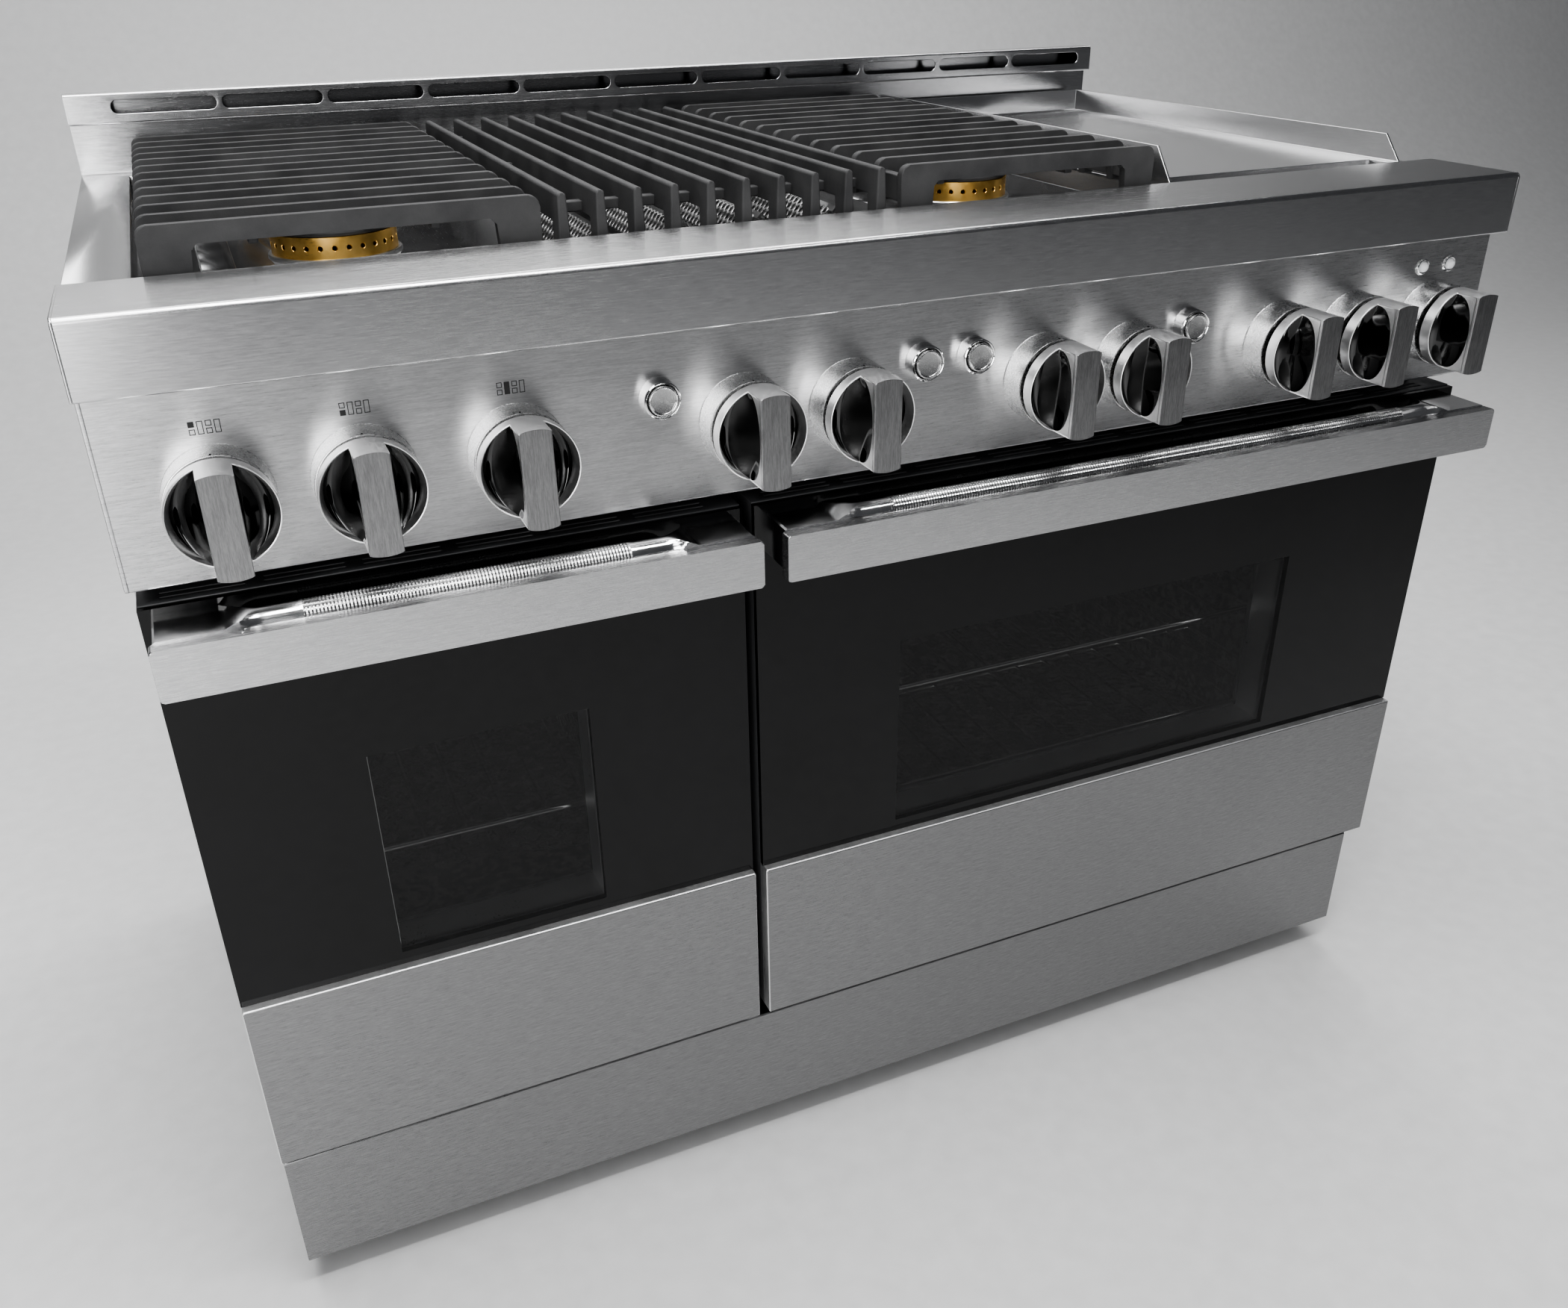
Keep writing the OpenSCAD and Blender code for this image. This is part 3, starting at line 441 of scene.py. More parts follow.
def rounded(x0, z0, x1, z1, radius, steps=6):
    """The outline of a rectangle with round corners."""
    left, right, low, high = x0 + radius, x1 - radius, z0 + radius, z1 - radius
    corners = ((right, high), (left, high), (left, low), (right, low))
    return [p for i, (x, z) in enumerate(corners) for p in arc(x, z, radius, 90 * i, 90 * i + 90, steps)]


# ---- CAD nodes that keep their shape
def dress(node, material, edge):
    """Gives a CAD node its finish and, where edge is above 0, softly rounded edges."""
    made = frame["nodes"][node]
    made.data.materials.clear()
    made.data.materials.append(material)
    for polygon in made.data.polygons:
        polygon.material_index = 0
    shade_smooth(made.data)
    if edge:
        weld = made.modifiers.new("weld", "WELD")
        weld.merge_threshold = 0.00002
        bevel = made.modifiers.new("edges", "BEVEL")
        bevel.width = edge / 1000
        bevel.segments = 2
        bevel.limit_method = "ANGLE"
        bevel.angle_limit = math.radians(30)
        bevel.harden_normals = True
        bevel.use_clamp_overlap = True


DRESSED = (
    (SHEET, 0, ("base_pan", "back_panel", "center_divider", "grill_box")),
    (STEEL_Z, 0, ("side_panel_left", "side_panel_right")),
    (BLACK, 0, ("front_frame",)),
    (PIPE, 0, ("levelling_legs", "oven_burners", "gas_manifold", "grill_burners", "hinge_brackets")),
    (VALVE, 0, ("valve_bodies",)),
    (OVEN, 0, ("oven_liner_left", "oven_liner_right")),
    (LAMP, 0, ("oven_lamps",)),
    (CHROME, 0, ("rack_left", "rack_right_upper", "rack_right_lower")),
    (CERAMIC, 0, ("igniters",)),
    (STEEL_TRIM, 0.5, ("cooktop_pan", "griddle")),
    (DOOR, 0.6, ("door_frame_left", "door_frame_right")),
)
for material, edge, nodes in DRESSED:
    for node in nodes:
        dress(node, material, edge)

# ---- knobs, buttons and lights
KNOBS = [f"knob_{number}" for number in range(1, 11)]
BUTTONS = [f"button_{number}" for number in range(1, 5)]
BODY_OF = {node: body for body, nodes in frame["record"]["behaviour"]["bodies"].items() for node in nodes}
KNOB_LENGTH, SKIRT, BOWL = 38.8, 14.0, 17.0  # whole knob, its back to its rim, and the depth of its bowls


def round_piece(node):
    """Centre X and Z, radius, and distance in front of the doors of a round CAD node."""
    low, high = extent(node)
    return (low.x + high.x) / 2, (low.z + high.z) / 2, (high.x - low.x) / 2, -low.y


def knob_side(shape, x, z, side, radius, half, rim_out, plate_out):
    """One side of a knob: the flat of the grip blade, then a bowl that sweeps down and out to the rim."""
    height = math.sqrt(radius * radius - half * half) - 0.02
    rows, columns = 32, 20
    points = []
    for i in range(rows + 1):
        v = -height * math.cos(math.pi * i / rows)
        reach = math.sqrt(max(radius * radius - v * v, half * half + 1e-4))
        bulge = math.sqrt(max(0.0, 1 - (v / height) ** 2))
        edge_out = rim_out + (plate_out - 1.2 - rim_out) * bulge ** 0.8
        floor = rim_out - BOWL * bulge
        path = ((half, edge_out), (half + 0.30 * (reach - half), floor),
                (reach - 0.10 * (reach - half), floor), (reach, rim_out))
        points.append((x + side * half, -plate_out, z + v))
        for k in range(columns + 1):
            t = k / columns
            share = ((1 - t) ** 3, 3 * t * (1 - t) ** 2, 3 * t * t * (1 - t), t ** 3)
            u, out = (sum(w * p[axis] for w, p in zip(share, path)) for axis in (0, 1))
            points.append((x + side * u, -out, z + v))
    width = columns + 2
    quads = [(i * width + k, i * width + k + 1, (i + 1) * width + k + 1, (i + 1) * width + k)
             for i in range(rows) for k in range(columns + 1)]
    verts, made = shape.add(points, quads)
    # The blade flat takes the first finish; the bowl takes the nearly black chrome, a painted dark
    # reflection.
    for index, face in enumerate(made):
        face.material_index = 0 if index % (columns + 1) == 0 else 1
    rim = [e for e in shape.bm.edges if e.is_boundary and e.verts[0] in verts and e.verts[1] in verts]
    grown = bmesh.ops.extrude_edge_only(shape.bm, edges=rim)["geom"]
    for vertex in [g for g in grown if isinstance(g, bmesh.types.BMVert)]:
        vertex.co.x += (x - vertex.co.x) * 0.12
        vertex.co.y = SKIRT - rim_out
    bmesh.ops.holes_fill(shape.bm, edges=[e for e in shape.bm.edges if e.is_boundary], sides=0)


def make_knob(name):
    x, z, radius, front = round_piece(name)
    blade, bore, hub = 11.6, 6.05, 11
    back = front - KNOB_LENGTH
    rim_out, plate_out, skin = back + SKIRT, front - 2.6, back + 3.0
    shape = Shape()
    shape.turned(x, z, [[bore, back - 12], [hub, back - 12], [hub, skin + 2], [bore, skin + 2]])
    shape.turned(x, z, [[radius - 5, skin], [radius - 0.8, skin],
                        [radius - 0.2, skin + 0.3], [radius, skin + 0.9],
                        [radius, rim_out - 0.8], [radius - 0.2, rim_out - 0.25], [radius - 0.6, rim_out],
                        [radius - 1.2, rim_out - 0.2], [radius - 5, skin + 0.5]], segments=128)
    for side in (-1, 1):
        knob_side(shape, x, z, side, radius - 1.0, blade, rim_out - 0.15, plate_out)
    # The ends of the grip blade, flush with the rim, and its brushed front plate.
    lean = math.degrees(math.asin((blade - 0.03) / radius))
    for turn in (90, 270):
        outline = arc(x, z, radius - 0.05, turn - lean, turn + lean, 14)
        outline += arc(x, z, radius - 4, turn + lean, turn - lean, 8)
        shape.prism("Y", -plate_out - 0.2, -(rim_out - 2), outline)
    lean = math.degrees(math.asin(blade / radius))
    outline = arc(x, z, radius, 90 - lean, 90 + lean, 14) + arc(x, z, radius, 270 - lean, 270 + lean, 14)
    faces = shape.prism("Y", -front, -plate_out + 0.6, outline)
    front_face = min(faces, key=lambda f: f.calc_center_median().y)
    front_face.material_index = 2
    shape.soften(list(front_face.edges), 0.55, 3)
    for face in shape.bm.faces:
        if face.normal.y < -0.999 and face.calc_center_median().y < -(front - 0.05):
            face.material_index = 2
    shape.finish(name + "_turned", BODY_OF[name], "chrome", [SATIN, CHROME_PAINTED_DARK_REFLECTION, STEEL_GRIP],
                 stands_for=[name])
    return x, z, radius, back, skin


def make_collar(index, x, z, radius, back, skin):
    """The fixed brushed collar behind a knob, with a near-black ring in the groove between the two as painted
    shade, and an index mark on top.
    """
    face, front = 1.0, back - 1.9
    shape = Shape()
    shape.turned(x, z, [[radius - 6, face], [radius + 0.6, face],
                        [radius + 0.5, face + 0.8], [radius + 0.3, face + 1.2],
                        [radius + 0.1, front - 0.8], [radius - 0.2, front - 0.2], [radius - 0.8, front],
                        [radius - 6, front]], segments=128)
    # From here on the near-black: the ring in the groove is painted shade, the index mark on top is a real
    # mark.
    shape.paint = 1
    groove = radius - 3.6
    shape.turned(x, z, [[12, front - 2], [groove, front - 2], [groove, skin + 0.3], [12, skin + 0.3]],
                 segments=96)
    top = z + radius + 0.3
    shape.box((x - 0.55, -(front - 1.2), top - 0.5), (x + 0.55, -(front - 3.4), top), 0.15)
    stands = ["control_collars"] if index == 0 else []
    shape.finish(f"knob_collar_{index + 1}", "chassis", "brushed_steel", [COLLAR, SHADE_AND_MARK_BLACK], stands_for=stands)


def make_button(index, name):
    x, z, radius, front = round_piece(name)
    shape = Shape()
    shape.turned(x, z, [[0, front - 8], [radius - 0.4, front - 8],
                        [radius - 0.4, front - 1.0], [radius - 0.9, front - 0.2],
                        [radius - 1.6, front], [radius - 2.3, front - 0.3], [radius - 2.6, front - 1.1],
                        [radius - 3.0, front - 1.3], [0, front - 1.8]], segments=96)
    shape.finish(name + "_turned", BODY_OF[name], "chrome", [SPUN], stands_for=[name])
    ring = Shape()
    ring.turned(x, z, [[radius + 0.1, 1], [radius + 3.2, 1], [radius + 3.0, 2.2], [radius + 2.6, 11.2],
                       [radius + 2.2, 12.4], [radius + 1.4, 13], [radius + 0.6, 12.6],
                       [radius + 0.1, 11.8]], segments=96)
    ring.finish(f"button_ring_{index + 1}", "chassis", "chrome", [CHROME])


def make_light_dome(index, x, z):
    shape = Shape()
    dome = [[4.9 * math.cos(math.radians(a)), 3.2 + 3.4 * math.sin(math.radians(a))]
            for a in range(0, 90, 10)]
    shape.turned(x, z, [[0, -9], [3.8, -9], [3.8, 0.9], [4.9, 0.9]] + dome + [[0, 6.6]], segments=48)
    stands = ["indicator_lights"] if index == 0 else []
    shape.finish(f"light_dome_{index + 1}", "chassis", "lamp_glass", [DOME], stands_for=stands)
    ring = Shape()
    ring.turned(x, z, [[5.1, 1], [7.6, 1], [7.4, 1.8], [6.9, 2.9], [6.2, 3.3], [5.1, 3.0]], segments=48)
    ring.finish(f"light_ring_{index + 1}", "chassis", "chrome", [CHROME])


for index, name in enumerate(KNOBS):
    make_collar(index, *make_knob(name))
for index, name in enumerate(BUTTONS):
    make_button(index, name)
low, high = extent("indicator_lights")
light_radius = 5.4
for index, x in enumerate((low.x + light_radius, high.x - light_radius)):
    make_light_dome(index, x, (low.z + high.z) / 2)


# ---- burner icons above the three left knobs
def make_icons():
    shape = Shape()
    proud, line, cell, gap, row_gap, rise = 0.06, 0.55, 3.9, 1.5, 1.3, 44
    tall = 2 * cell + row_gap
    plane = extent("control_panel")[0].y

    def outline_box(x, z, w, h, filled):
        if filled:
            shape.box((x, plane - proud, z), (x + w, plane, z + h))
        else:
            shape.border(x, x + w, z, z + h, plane - proud, plane, line)

    filled_cell = {"knob_1": (0, 1), "knob_2": (0, 0), "knob_3": (1, 0)}
    for name, marked in filled_cell.items():
        knob_x, knob_z = round_piece(name)[:2]
        left = knob_x - (4 * cell + 3 * gap) / 2
        bottom = knob_z + rise
        for column in range(4):
            x = left + column * (cell + gap)
            if column % 2 == 0:
                for row in range(2):
                    outline_box(x, bottom + row * (cell + row_gap), cell, cell, (column, row) == marked)
            else:
                outline_box(x, bottom, cell, tall, (column, 0) == marked)
    shape.finish("burner_icons", "chassis", "black_enamel", [INK])


make_icons()


# ---- door handles
# A box for circle_section that is too wide to cut its circle.
ROUND = (-90, 90, 0, 900)


def circle_section(x, radius, centre_y, centre_z, box, count=48):
    """A circle in Y and Z held inside a box, so that a growing circle turns into a block."""
    y0, y1, z0, z1 = box
    points = []
    for k in range(count):
        a = 2 * math.pi * k / count
        y = centre_y + radius * math.cos(a)
        z = centre_z + radius * math.sin(a)
        points.append((x, max(y0, min(y1, y)), max(z0, min(z1, z))))
    return points


def make_handle(side):
    p0, p1 = extent(f"handle_plate_{side}")
    b0, b1 = extent(f"handle_bar_{side}")
    body = BODY_OF[f"handle_plate_{side}"]
    face = Shape()
    face.prism("Y", p0.y, p1.y, rounded(p0.x, p0.z, p1.x, p1.z, 2.4), 1.0, 3)
    face.finish(f"handle_face_{side}", body, "brushed_steel", [STEEL_X], stands_for=[f"handle_plate_{side}"])

    # The axis and radius of the grip are as in the CAD.
    grip_y, grip_z, radius = -32.0, 663.0, 10.0
    back, front, top_z = -0.1, p1.y + 0.02, p1.z + 1.2
    block, flare, smooth_end = 32.0, 40.0, 96
    shape = Shape()
    sections = []
    steps = 22
    for end, sign in ((b0.x, 1), (b1.x, -1)):
        rows = []
        for x in (0, 0.6, 1.6):
            inset = (1.6 - x) * 0.6
            rows.append(circle_section(end + sign * x, 90, grip_y, grip_z,
                                       (front, back, p0.z + 4 + inset, top_z - inset)))
        for i in range(steps + 1):
            share = i / steps
            swell = (1 - share) ** 2.4
            grown = radius + 62 * swell
            top = grip_z + radius + (top_z - grip_z - radius) * min(1.0, swell * 3.2)
            rows.append(circle_section(end + sign * (block + flare * share - 2), grown, grip_y, grip_z,
                                       (front, back, p0.z + 4, top)))
        if sign < 0:
            rows.reverse()
        sections.append(rows)
    # Smooth ends, then the knurled middle between two thin steps.
    smooth = b0.x + smooth_end, b1.x - smooth_end
    shape.loft(sections[0] + [circle_section(smooth[0], radius, grip_y, grip_z, ROUND)])
    shape.loft([circle_section(smooth[1], radius, grip_y, grip_z, ROUND)] + sections[1])
    for x in smooth:
        rows = [(x - 1.4, radius - 0.2), (x - 1.1, radius + 0.35),
                (x + 1.1, radius + 0.35), (x + 1.4, radius - 0.2)]
        shape.loft([circle_section(a, r, grip_y, grip_z, ROUND) for a, r in rows])
    # Knurling: small pyramids at every other point of a fine grid.
    shape.paint = 1
    pitch, around, tall = 1.25, 52, 0.5
    count = round((smooth[1] - smooth[0]) / pitch)
    rings = []
    for i in range(count + 1):
        x = smooth[0] + (smooth[1] - smooth[0]) * i / count
        ring = []
        for k in range(around):
            proud = radius + (tall if i % 2 and k % 2 else -0.05)
            turn = 2 * math.pi * k / around
            ring.append((x, grip_y + proud * math.cos(turn), grip_z + proud * math.sin(turn)))
        rings.append(ring)
    shape.loft(rings)
    shape.finish(f"handle_grip_{side}", body, "chrome", [GRIP_CHROME, KNURL], sharp=20,
                 stands_for=[f"handle_bar_{side}"])


for side in ("left", "right"):
    make_handle(side)


# ---- folded steel of the front and the guard
def make_rail():
    low, high = extent("front_rail")
    t, edge, lip = 2.0, 4.0, 1.4
    y0, y1, z0, z1 = low.y, high.y, low.z, high.z
    outer = ([(-1.2, z0)] + arc(y0 + lip, z0 + lip, lip, 270, 180, 4)
             + arc(y0 + edge, z1 - edge, edge, 180, 90, 8)
             + arc(y1 - lip, z1 - lip, lip, 90, 0, 4) + [(y1, z0)])
    inner = [(y1 - t, z0), (y1 - t, z1 - t), (y0 + t, z1 - t), (y0 + t, z0 + t), (-1.2, z0 + t)]
    shape = Shape()
    shape.prism("X", low.x + t, high.x - t, outer + inner)
    for x0, x1 in ((low.x, low.x + t), (high.x - t, high.x)):
        shape.prism("X", x0, x1, outer, 0.7, 2)
    shape.finish("rail_folded", "chassis", "brushed_steel", [STEEL_RAIL], sharp=40, stands_for=["front_rail"])


def make_control_panel():
    low, high = extent("control_panel")
    t, fold = 1.5, 2.2
    z0, y0, y1 = low.z, low.y, high.y
    outer = [(y0, high.z)] + arc(y0 + fold, z0 + fold, fold, 180, 270, 5) + [(y1, z0)]
    inner = [(y1, z0 + t), (y0 + fold, z0 + t), (y0 + t, z0 + fold), (y0 + t, high.z)]
    rail_z = extent("front_rail")[0].z - 0.1
    shape = Shape()
    shape.prism("X", low.x + 3, high.x - 3, outer + inner)
    for x0, x1 in ((low.x, low.x + 3), (high.x - 3, high.x)):
        shape.prism("X", x0, x1, [(y0, rail_z)] + arc(y0 + fold, z0 + fold, fold, 180, 270, 5)
                    + [(y1, z0), (y1, rail_z)], 0.6, 2)
    shape.finish("panel_folded", "chassis", "brushed_steel", [STEEL_PANEL], sharp=40,
                 stands_for=["control_panel"])


def slot_cell(x0, x1, z0, z1, a, b, zc, radius):
    """Points round a slot from a to b, with their way outwards, and matching ones round its cell."""
    inner, outer = [], []
    for centre, side, edge in ((b, 1, x1), (a, -1, x0)):
        reach = abs(edge - centre)
        corners = [math.atan2(z1 - zc, reach), -math.atan2(zc - z0, reach)]
        angles = sorted([math.pi / 2 - math.pi * k / 12 for k in range(13)] + corners, reverse=side > 0)
        for angle in angles:
            c, s = math.cos(angle), math.sin(angle)
            length = min((reach / c) if c > 1e-6 else 1e9, ((z1 - zc) / s) if s > 1e-6 else 1e9,
                         ((zc - z0) / -s) if s < -1e-6 else 1e9)
            inner.append((centre + side * radius * c, zc + radius * s, side * c, s))
            outer.append((centre + side * length * c, zc + length * s))
    return inner, outer


def make_guard():
    low, high = extent("backguard")
    t, fold, radius, count = 1.5, 2.0, 6.5, 11
    lip_y, z1, lip_depth, lip_height = low.y, high.z, 12, 29
    z0 = z1 - lip_height
    face_y = lip_y + lip_depth
    shape = Shape()
    top_fold = [(lip_y, z1 - fold)] + arc(lip_y + fold, z1 - fold, fold, 180, 90, 5)
    outer = top_fold + arc(high.y - fold, z1 - fold, fold, 90, 0, 4) + [(high.y, low.z)]
    inner = [(high.y - t, low.z), (high.y - t, z1 - t), (lip_y + t, z1 - t), (lip_y + t, z1 - fold)]
    shape.prism("X", low.x + t, high.x - t, outer + inner)
    lower = [(lip_y, z0 + fold)] + arc(lip_y + fold, z0 + fold, fold, 180, 270, 5)
    lower += [(face_y, z0), (face_y, low.z), (face_y + t, low.z), (face_y + t, z0 + t), (lip_y + t, z0 + t),
              (lip_y + t, z0 + fold)]
    shape.prism("X", low.x + t, high.x - t, lower)
    silhouette = [(lip_y, z0 + fold)] + top_fold + arc(high.y - fold, z1 - fold, fold, 90, 0, 4)
    silhouette += [(high.y, low.z), (face_y, low.z), (face_y, z0)]
    silhouette += arc(lip_y + fold, z0 + fold, fold, 270, 180, 5)[:-1]
    for x0, x1 in ((low.x, low.x + t), (high.x - t, high.x)):
        shape.prism("X", x0, x1, silhouette, 0.5, 2)
    # The lip's front: one cell for each slot, with the slot's edge rolled slightly inward.
    first, last, width = low.x + 42, high.x - 19, 99.5
    pitch = (last - width - first) / (count - 1)
    gap = pitch - width
    zc = z0 + 16
    for i in range(count):
        a, b = first + i * pitch + radius, first + i * pitch + width - radius
        x0 = low.x + t if i == 0 else a - radius - gap / 2
        x1 = high.x - t if i == count - 1 else b + radius + gap / 2
        inner_points, outer_points = slot_cell(x0, x1, z0 + fold, z1 - fold, a, b, zc, radius)
        rings = []
        for y, grow in ((lip_y, 0.7), (lip_y + 0.25, 0.25), (lip_y + 0.8, 0.0), (lip_y + t, 0.0)):
            rings.append([(px + grow * c, y, pz + grow * s) for px, pz, c, s in inner_points])
        front = [(px, lip_y, pz) for px, pz in outer_points]
        behind = [(px, lip_y + t, pz) for px, pz in outer_points]
        shape.loft([front] + rings + [behind], caps=False)
    bmesh.ops.remove_doubles(shape.bm, verts=list(shape.bm.verts), dist=1e-3)
    # Faces inside the guard take the near-black: painted shade behind the slots.
    for face in shape.bm.faces:
        c = face.calc_center_median()
        if low.x + 1 < c.x < high.x - 1 and lip_y + 1 < c.y < high.y - 1 and z0 + 1 < c.z < z1 - 1:
            face.material_index = 1
    shape.finish("guard_folded", "chassis", "brushed_steel", [STEEL_RAIL, SHADE_AND_MARK_BLACK], sharp=40,
                 stands_for=["backguard"])


def make_kick():
    low, high = extent("kick_plate")
    fold = 2.0
    outer = ([(high.y, low.z)] + arc(low.y + fold, low.z + fold, fold, 270, 180, 4)
             + arc(low.y + fold, high.z - fold, fold, 180, 90, 4) + [(high.y, high.z)])
    shape = Shape()
    shape.prism("X", low.x, high.x, outer, 0.5, 2)
    # The kick plate takes the darker copy of the steel: painted shade.
    shape.finish("kick_folded", "chassis", "brushed_steel", [STEEL_LOWER_PAINTED_SHADE], sharp=40,
                 stands_for=["kick_plate"])


make_rail()
make_control_panel()
make_guard()
make_kick()


# ---- oven doors
# The windows as in the CAD: left and right edge for each door, lower and upper edge for both.
WINDOWS = {"left": (135, 312), "right": (598, 1036)}
WINDOW_Z = (329, 521)


def make_door(side):
    frame_low, frame_high = extent(f"door_frame_{side}")
    glass_low, glass_high = extent(f"door_glass_{side}")
    body = BODY_OF[f"door_frame_{side}"]
    x0, x1 = frame_low.x, frame_high.x
    wx0, wx1 = WINDOWS[side]
    wz0, wz1 = WINDOW_Z
    # The outer pane: black print round a clear window.
    pane = Shape()
    thick = 5.9
    xs, zs = (x0, wx0, wx1, x1), (glass_low.z, wz0, wz1, glass_high.z)
    grid = {}
    for depth in (0, 1):
        for i, x in enumerate(xs):
            for k, z in enumerate(zs):
                grid[depth, i, k] = pane.bm.verts.new((x, depth * thick, z))
    for depth in (0, 1):
        for i in range(3):
            for k in range(3):
                corners = [grid[depth, i, k], grid[depth, i + 1, k],
                           grid[depth, i + 1, k + 1], grid[depth, i, k + 1]]
                face = pane.bm.faces.new(corners)
                face.material_index = 1 if (i, k) == (1, 1) else 0
    rim = [(i, 0) for i in range(3)] + [(3, k) for k in range(3)] + [(i, 3) for i in range(3, 0, -1)]
    rim += [(0, k) for k in range(3, 0, -1)]
    for a, b in zip(rim, rim[1:] + rim[:1]):
        pane.bm.faces.new([grid[0, *a], grid[0, *b], grid[1, *b], grid[1, *a]])
    edges = [e for e in pane.bm.edges if len(e.link_faces) == 2
             and abs(e.calc_face_angle(0)) > 1.0 and all(v.co.y == 0 for v in e.verts)]
    pane.soften(edges, 0.7, 2)
    pane.finish(f"door_pane_{side}", body, "door_glass", [GLASS, WINDOW], stands_for=[f"door_glass_{side}"])
    inner = Shape()
    inset = 1.2
    inner.box((wx0 + inset, glass_high.y - 5, wz0 + inset), (wx1 - inset, glass_high.y, wz1 - inset), 0.4)
    inner.finish(f"door_inner_pane_{side}", body, "door_glass", [INNER])
    # The steel lining round the window between the two panes.
    lining = Shape()
    gap, y0, y1 = 0.1, thick + 0.5, glass_high.y - 5.4
    lining.border(wx0 + gap, wx1 - gap, wz0 + gap, wz1 - gap, y0, y1, 0.8)
    lining.finish(f"window_lining_{side}", body, "sheet_steel", [LINING])
    # The lower panel, folded round its edges; its front face takes the darker copy of the steel, painted
    # shade.
    low, high = extent(f"lower_panel_{side}")
    panel = Shape()
    panel.box((low.x, low.y, low.z), (high.x, high.y, high.z), 1.6, 3)
    for face in panel.bm.faces:
        face.material_index = 1 if face.normal.y < -0.95 else 0
    panel.finish(f"lower_cover_{side}", body, "brushed_steel", [FROST, STEEL_LOWER_PAINTED_SHADE], sharp=50,
                 stands_for=[f"lower_panel_{side}"])


for side in ("left", "right"):
    make_door(side)


# ---- grates, grill and burners
def bar_outline(x0, x1, top, depth, leg_in, leg_to, corner=8.0):
    """One grate bar seen from the front: round top corners and a leg at each end."""
    bottom, slant = top - depth, 5.5
    outline = arc(x1 - corner, top - corner, corner, 0, 90, 6)
    outline += arc(x0 + corner, top - corner, corner, 90, 180, 6)
    left, right = x0 + leg_in, x1 - leg_in
    outline += [(x0, leg_to), (left, leg_to), (left + 0.5, bottom - 5), (left + slant, bottom)]
    outline += [(right - slant, bottom), (right - 0.5, bottom - 5), (right, leg_to), (x1, leg_to)]
    return outline


def make_grate(side, legs):
    node = f"grate_{side}"
    low, high = extent(node)
    x0, x1 = low.x + 1, high.x - 1
    top, count, thick = high.z, 13, 8.0
    pitch = (high.y - low.y - thick) / (count - 1)
    shape = Shape()
    for i in range(count):
        y = low.y + i * pitch
        if i in (0, count - 1):
            outline = bar_outline(x0, x1, top, 13, legs, low.z)
        else:
            outline = bar_outline(x0, x1, top, 13, 12, top - 34)
        shape.prism("Y", y, y + thick, outline, 1.3, 3)
    cap_radius = 47
    caps_low, caps_high = extent("burner_caps")
    burner = caps_low.x + cap_radius if side == "left" else caps_high.x - cap_radius
    for x, deep, wide in ((x0 + 1.5, 30, 9), (x1 - 10.5, 30, 9), (burner - 67, 18, 7), (burner + 60, 18, 7)):
        shape.box((x, low.y + 3, top - deep), (x + wide, high.y - 3, top - 9), 1.2)
    shape.finish(f"grate_cast_{side}", BODY_OF[node], "cast_iron", [IRON], sharp=50, stands_for=[node])


def make_grill():
    """Grill bars: shallow wedges with a deep end at the front and at the back."""
    low, high = extent("grill_grate")
    count, top_w, foot_w, end_h, bar_h, end_d = 10, 7.0, 11.0, 50.0, 22.0, 18.0
    first, last = low.x + foot_w / 2, high.x - foot_w / 2
    top = high.z
    stations = ((low.y, end_h), (low.y + end_d - 4, end_h), (low.y + end_d - 0.5, bar_h),
                (high.y - end_d + 0.5, bar_h), (high.y - end_d + 4, end_h), (high.y, end_h))

    def section(x, y, depth):
        half, foot = top_w / 2, (top_w + (foot_w - top_w) * depth / end_h) / 2
        bottom, r = top - depth, 2.6
        outline = arc(x + half - r, top - r, r, 4, 90, 5) + arc(x - half + r, top - r, r, 90, 176, 5)
        outline += [(x - foot, bottom + 1), (x - foot + 1, bottom)]
        outline += [(x + foot - 1, bottom), (x + foot, bottom + 1)]
        return [(px, y, pz) for px, pz in outline]

    shape = Shape()
    for i in range(count):
        x = first + (last - first) * i / (count - 1)
        made = shape.loft([section(x, y, depth) for y, depth in stations])[1]
        shape.soften([e for f in made[-2:] for e in f.edges], 1.6, 3)
    for y in (low.y + 40, (low.y + high.y) / 2, high.y - 50):
        shape.box((first, y, top - bar_h + 1), (last, y + 10, top - bar_h + 9), 1.0)
    for x in (first, last):
        for y in (low.y, high.y - 13):
            shape.box((x - foot_w / 2, y, low.z), (x + foot_w / 2, y + 13, top - end_h + 4), 0.8)
    shape.finish("grill_cast", BODY_OF["grill_grate"], "cast_iron", [IRON], sharp=50,
                 stands_for=["grill_grate"])


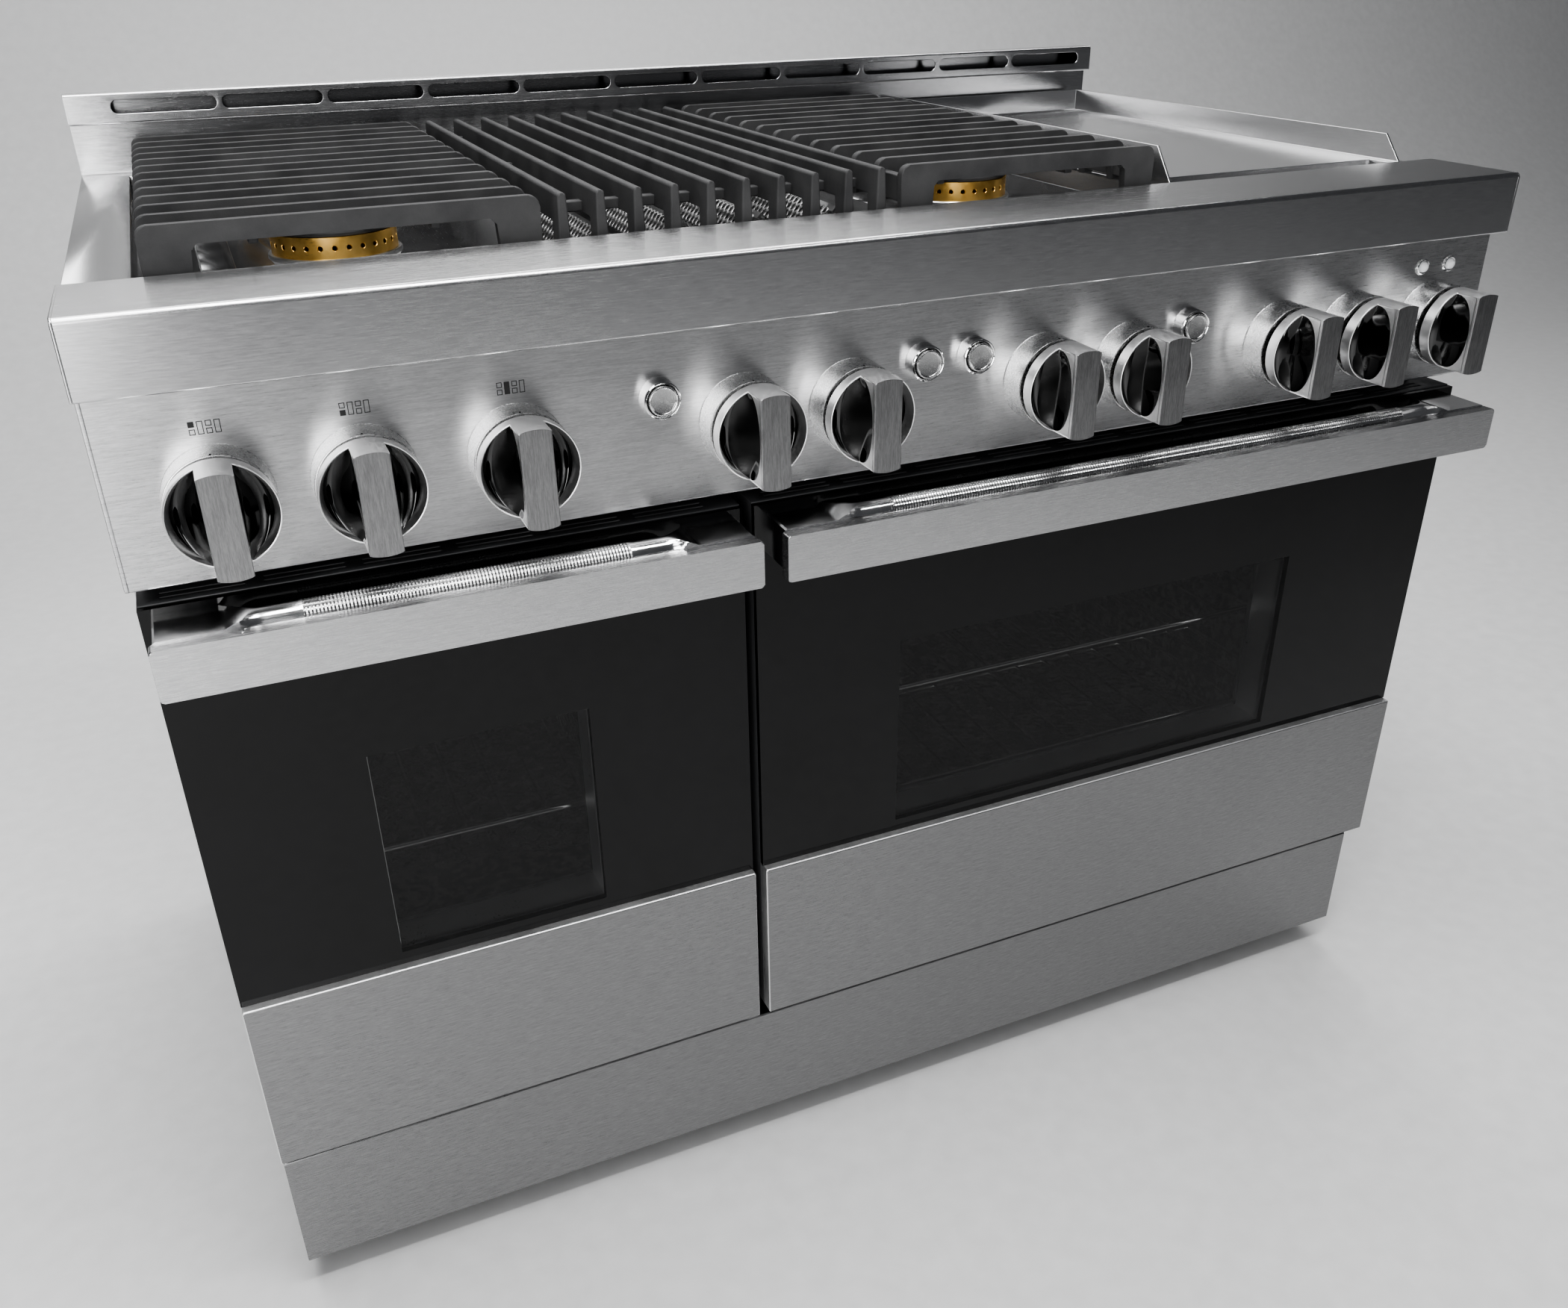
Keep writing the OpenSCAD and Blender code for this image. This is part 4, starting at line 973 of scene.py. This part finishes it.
def make_tamers():
    """Inverted V plates pierced all over with a honeycomb of round holes."""
    low, high = extent("flame_tamers")
    count, pitch, half, rise = 4, 68.0, 30.0, 28.0
    foot = high.z - rise
    centre = (low.x + high.x) / 2
    y0, y1 = low.y + 0.5, high.y - 0.5
    cell, hole, sides = 8.4, 2.7, 12
    slope = math.hypot(half, rise)
    shape = Shape()
    row_pitch = cell * 0.866
    rows = int((slope - 6) / row_pitch)
    columns = int((y1 - y0 - 20) / cell)
    for i in range(count):
        x_mid = centre + (i - (count - 1) / 2) * pitch
        for s in (-1, 1):
            def place(along, across, lift=0.0):
                share = across / slope
                return (x_mid + s * half * share, along, foot + rise * (1 - share) + lift)
            points, faces = [], []
            for row in range(rows):
                for column in range(columns):
                    cy = y0 + 12 + (column + (0.5 if row % 2 else 0.0)) * cell
                    cx = 3.5 + (row + 0.5) * row_pitch
                    base = len(points)
                    for k in range(sides):
                        a = math.pi / 6 + 2 * math.pi * k / sides
                        points.append(place(cy + hole * math.cos(a), cx + hole * math.sin(a)))
                    for k in range(6):
                        a = math.pi / 6 + 2 * math.pi * k / 6
                        r = cell / math.sqrt(3)
                        points.append(place(cy + r * math.cos(a), cx + r * math.sin(a)))
                    for k in range(6):
                        n0, n1, n2 = 2 * k, 2 * k + 1, (2 * k + 2) % sides
                        h0, h1 = sides + k, sides + (k + 1) % 6
                        faces.append((base + n0, base + n1, base + n2, base + h1, base + h0))
            shape.add(points, faces)
        fold_w, fold_h = 3.6, 3.4
        ridge = [(x_mid - fold_w, high.z - fold_h), (x_mid, high.z), (x_mid + fold_w, high.z - fold_h),
                 (x_mid, high.z - 1.4)]
        shape.prism("Y", y0, y1, ridge)
    bmesh.ops.remove_doubles(shape.bm, verts=list(shape.bm.verts), dist=0.01)
    for y in (low.y + 4, high.y - 12):
        shape.box((low.x, y, foot - 6), (high.x, y + 6, foot - 0.2), 0.4)
        for x in (low.x, high.x - 2):
            shape.box((x, y, low.z), (x + 2, y + 6, foot - 1), 0.3)
    made = shape.finish("flame_plates", "chassis", "cast_iron", [TAMER], stands_for=["flame_tamers"])
    solid = made.modifiers.new("sheet", "SOLIDIFY")
    solid.thickness = 0.0012
    solid.offset = 0


def make_ring(index, x, y, z0, z1, radius):
    """A pierced brass ring: flat cells with one port each, bent round the burner."""
    ports, port, inner_r = 28, 1.8, radius - 8
    cell = 2 * math.pi * radius / ports

    def bend(u, z, r):
        return (x + r * math.cos(u / radius), y + r * math.sin(u / radius), z)

    shape = Shape()
    for k in range(ports):
        mid = (k + 0.5) * cell
        rim, edge = slot_cell(mid - cell / 2, mid + cell / 2, z0, z1, mid, mid, (z0 + z1) / 2, port)
        rings = [[bend(u, z, radius) for u, z in edge]]
        for r, grow in ((radius, 0.3), (radius - 0.4, 0.0), (inner_r, 0.0)):
            rings.append([bend(u + grow * c, z + grow * rise, r) for u, z, c, rise in rim])
        rings.append([bend(u, z, inner_r) for u, z in edge])
        shape.loft(rings, caps=False)
    bmesh.ops.remove_doubles(shape.bm, verts=list(shape.bm.verts), dist=1e-3)
    for level in (z0, z1):
        open_edges = [e for e in shape.bm.edges
                      if e.is_boundary and all(abs(v.co.z - level) < 0.01 for v in e.verts)]
        bmesh.ops.bridge_loops(shape.bm, edges=open_edges)
    shape.finish(f"burner_ring_{index}", "chassis", "burner_brass", [BRASS],
                 stands_for=["burner_rings"] if index == 1 else [])


def make_burners():
    """Caps, pierced brass rings and cast bases for the four burners."""
    cap_top = extent("burner_caps")[1].z
    ring_low, ring_high = extent("burner_rings")
    base_low = extent("burner_bases")[0]
    radius, flange = 47.5, 850.3
    xs = (ring_low.x + radius, ring_high.x - radius)
    ys = (ring_low.y + radius, ring_high.y - radius)
    index = 0
    for x in xs:
        for y in ys:
            index += 1
            make_ring(index, x, y, ring_low.z, ring_high.z, radius)
            cap = Shape()
            z0, z1 = ring_high.z, cap_top
            cap.standing(x, y, [[0, z0], [radius - 2, z0], [radius - 0.9, z0 + 0.5], [radius - 0.6, z0 + 2.6],
                                [radius - 1.4, z0 + 4.4], [radius - 7.0, z1 - 2.2], [radius - 8.2, z1 - 1.5],
                                [radius - 13, z1 - 0.3], [radius - 15, z1], [0, z1]], 96)
            cap.finish(f"burner_cap_{index}", "chassis", "black_enamel", [CAP],
                       stands_for=["burner_caps"] if index == 1 else [])
            base = Shape()
            top = ring_low.z
            base.standing(x, y, [[16, base_low.z], [30, base_low.z], [30, flange], [41, flange],
                                 [43, flange + 1.1], [radius + 2.0, top - 4.2], [radius + 3, top - 3.2],
                                 [radius + 3, top - 0.8], [radius + 2.4, top], [16, top]], 96)
            base.finish(f"burner_base_{index}", "chassis", "bare_aluminium", [ALUMINIUM],
                        stands_for=["burner_bases"] if index == 1 else [])


make_grate("left", 32)
make_grate("right", 29)
make_grill()
make_tamers()
make_burners()


# ---- stage
def make_stage():
    """A floor that sweeps up into a wall behind, the world and the lights, all in metres."""
    half, front, back, top, sweep = 12.0, -8.0, 3.4, 5.0, 1.6
    line = [(front, 0.0)]
    line += [(back - sweep + sweep * math.sin(math.radians(a)), sweep - sweep * math.cos(math.radians(a)))
             for a in range(0, 91, 6)]
    line.append((back, top))
    mesh = bpy.data.meshes.new("floor")
    points = [(x, y, z) for y, z in line for x in (-half, half)]
    mesh.from_pydata(points, [], [(2 * i, 2 * i + 1, 2 * i + 3, 2 * i + 2) for i in range(len(line) - 1)])
    shade_smooth(mesh)
    mesh.materials.append(FLOOR)
    floor = new_object("floor", mesh)

    world = bpy.data.worlds.new("studio")
    world.use_nodes = True
    background = world.node_tree.nodes["Background"]
    background.inputs["Color"].default_value = (0.93, 0.95, 1.0, 1)
    background.inputs["Strength"].default_value = 0.08
    scene.world = world
    scene.view_settings.view_transform = "AgX"
    scene.view_settings.look = "AgX - High Contrast"

    make_light("behind", (0.1, 1.7, 2.8), (0.0, -0.1, 0.7), (2.8, 1.0), 30)
    make_light("above", (-0.4, -0.55, 3.0), (-0.1, -0.3, 0.8), (2.2, 0.8), 42)
    make_light("front", (-1.5, -2.9, 1.2), (-0.5, -0.3, 0.8), (1.5, 1.7), 34)
    make_light("edge", (-0.1, -1.3, 3.0), (-0.1, -0.4, 0.9), (2.6, 0.15), 26)
    make_light("floor_wash", (-1.3, -1.9, 2.4), (-1.0, -1.9, 0.0), (1.2, 1.2), 16)
    make_light("backdrop", (1.4, 0.9, 3.4), (0.6, 3.0, 1.4), (2.2, 1.0), 40)


make_stage()
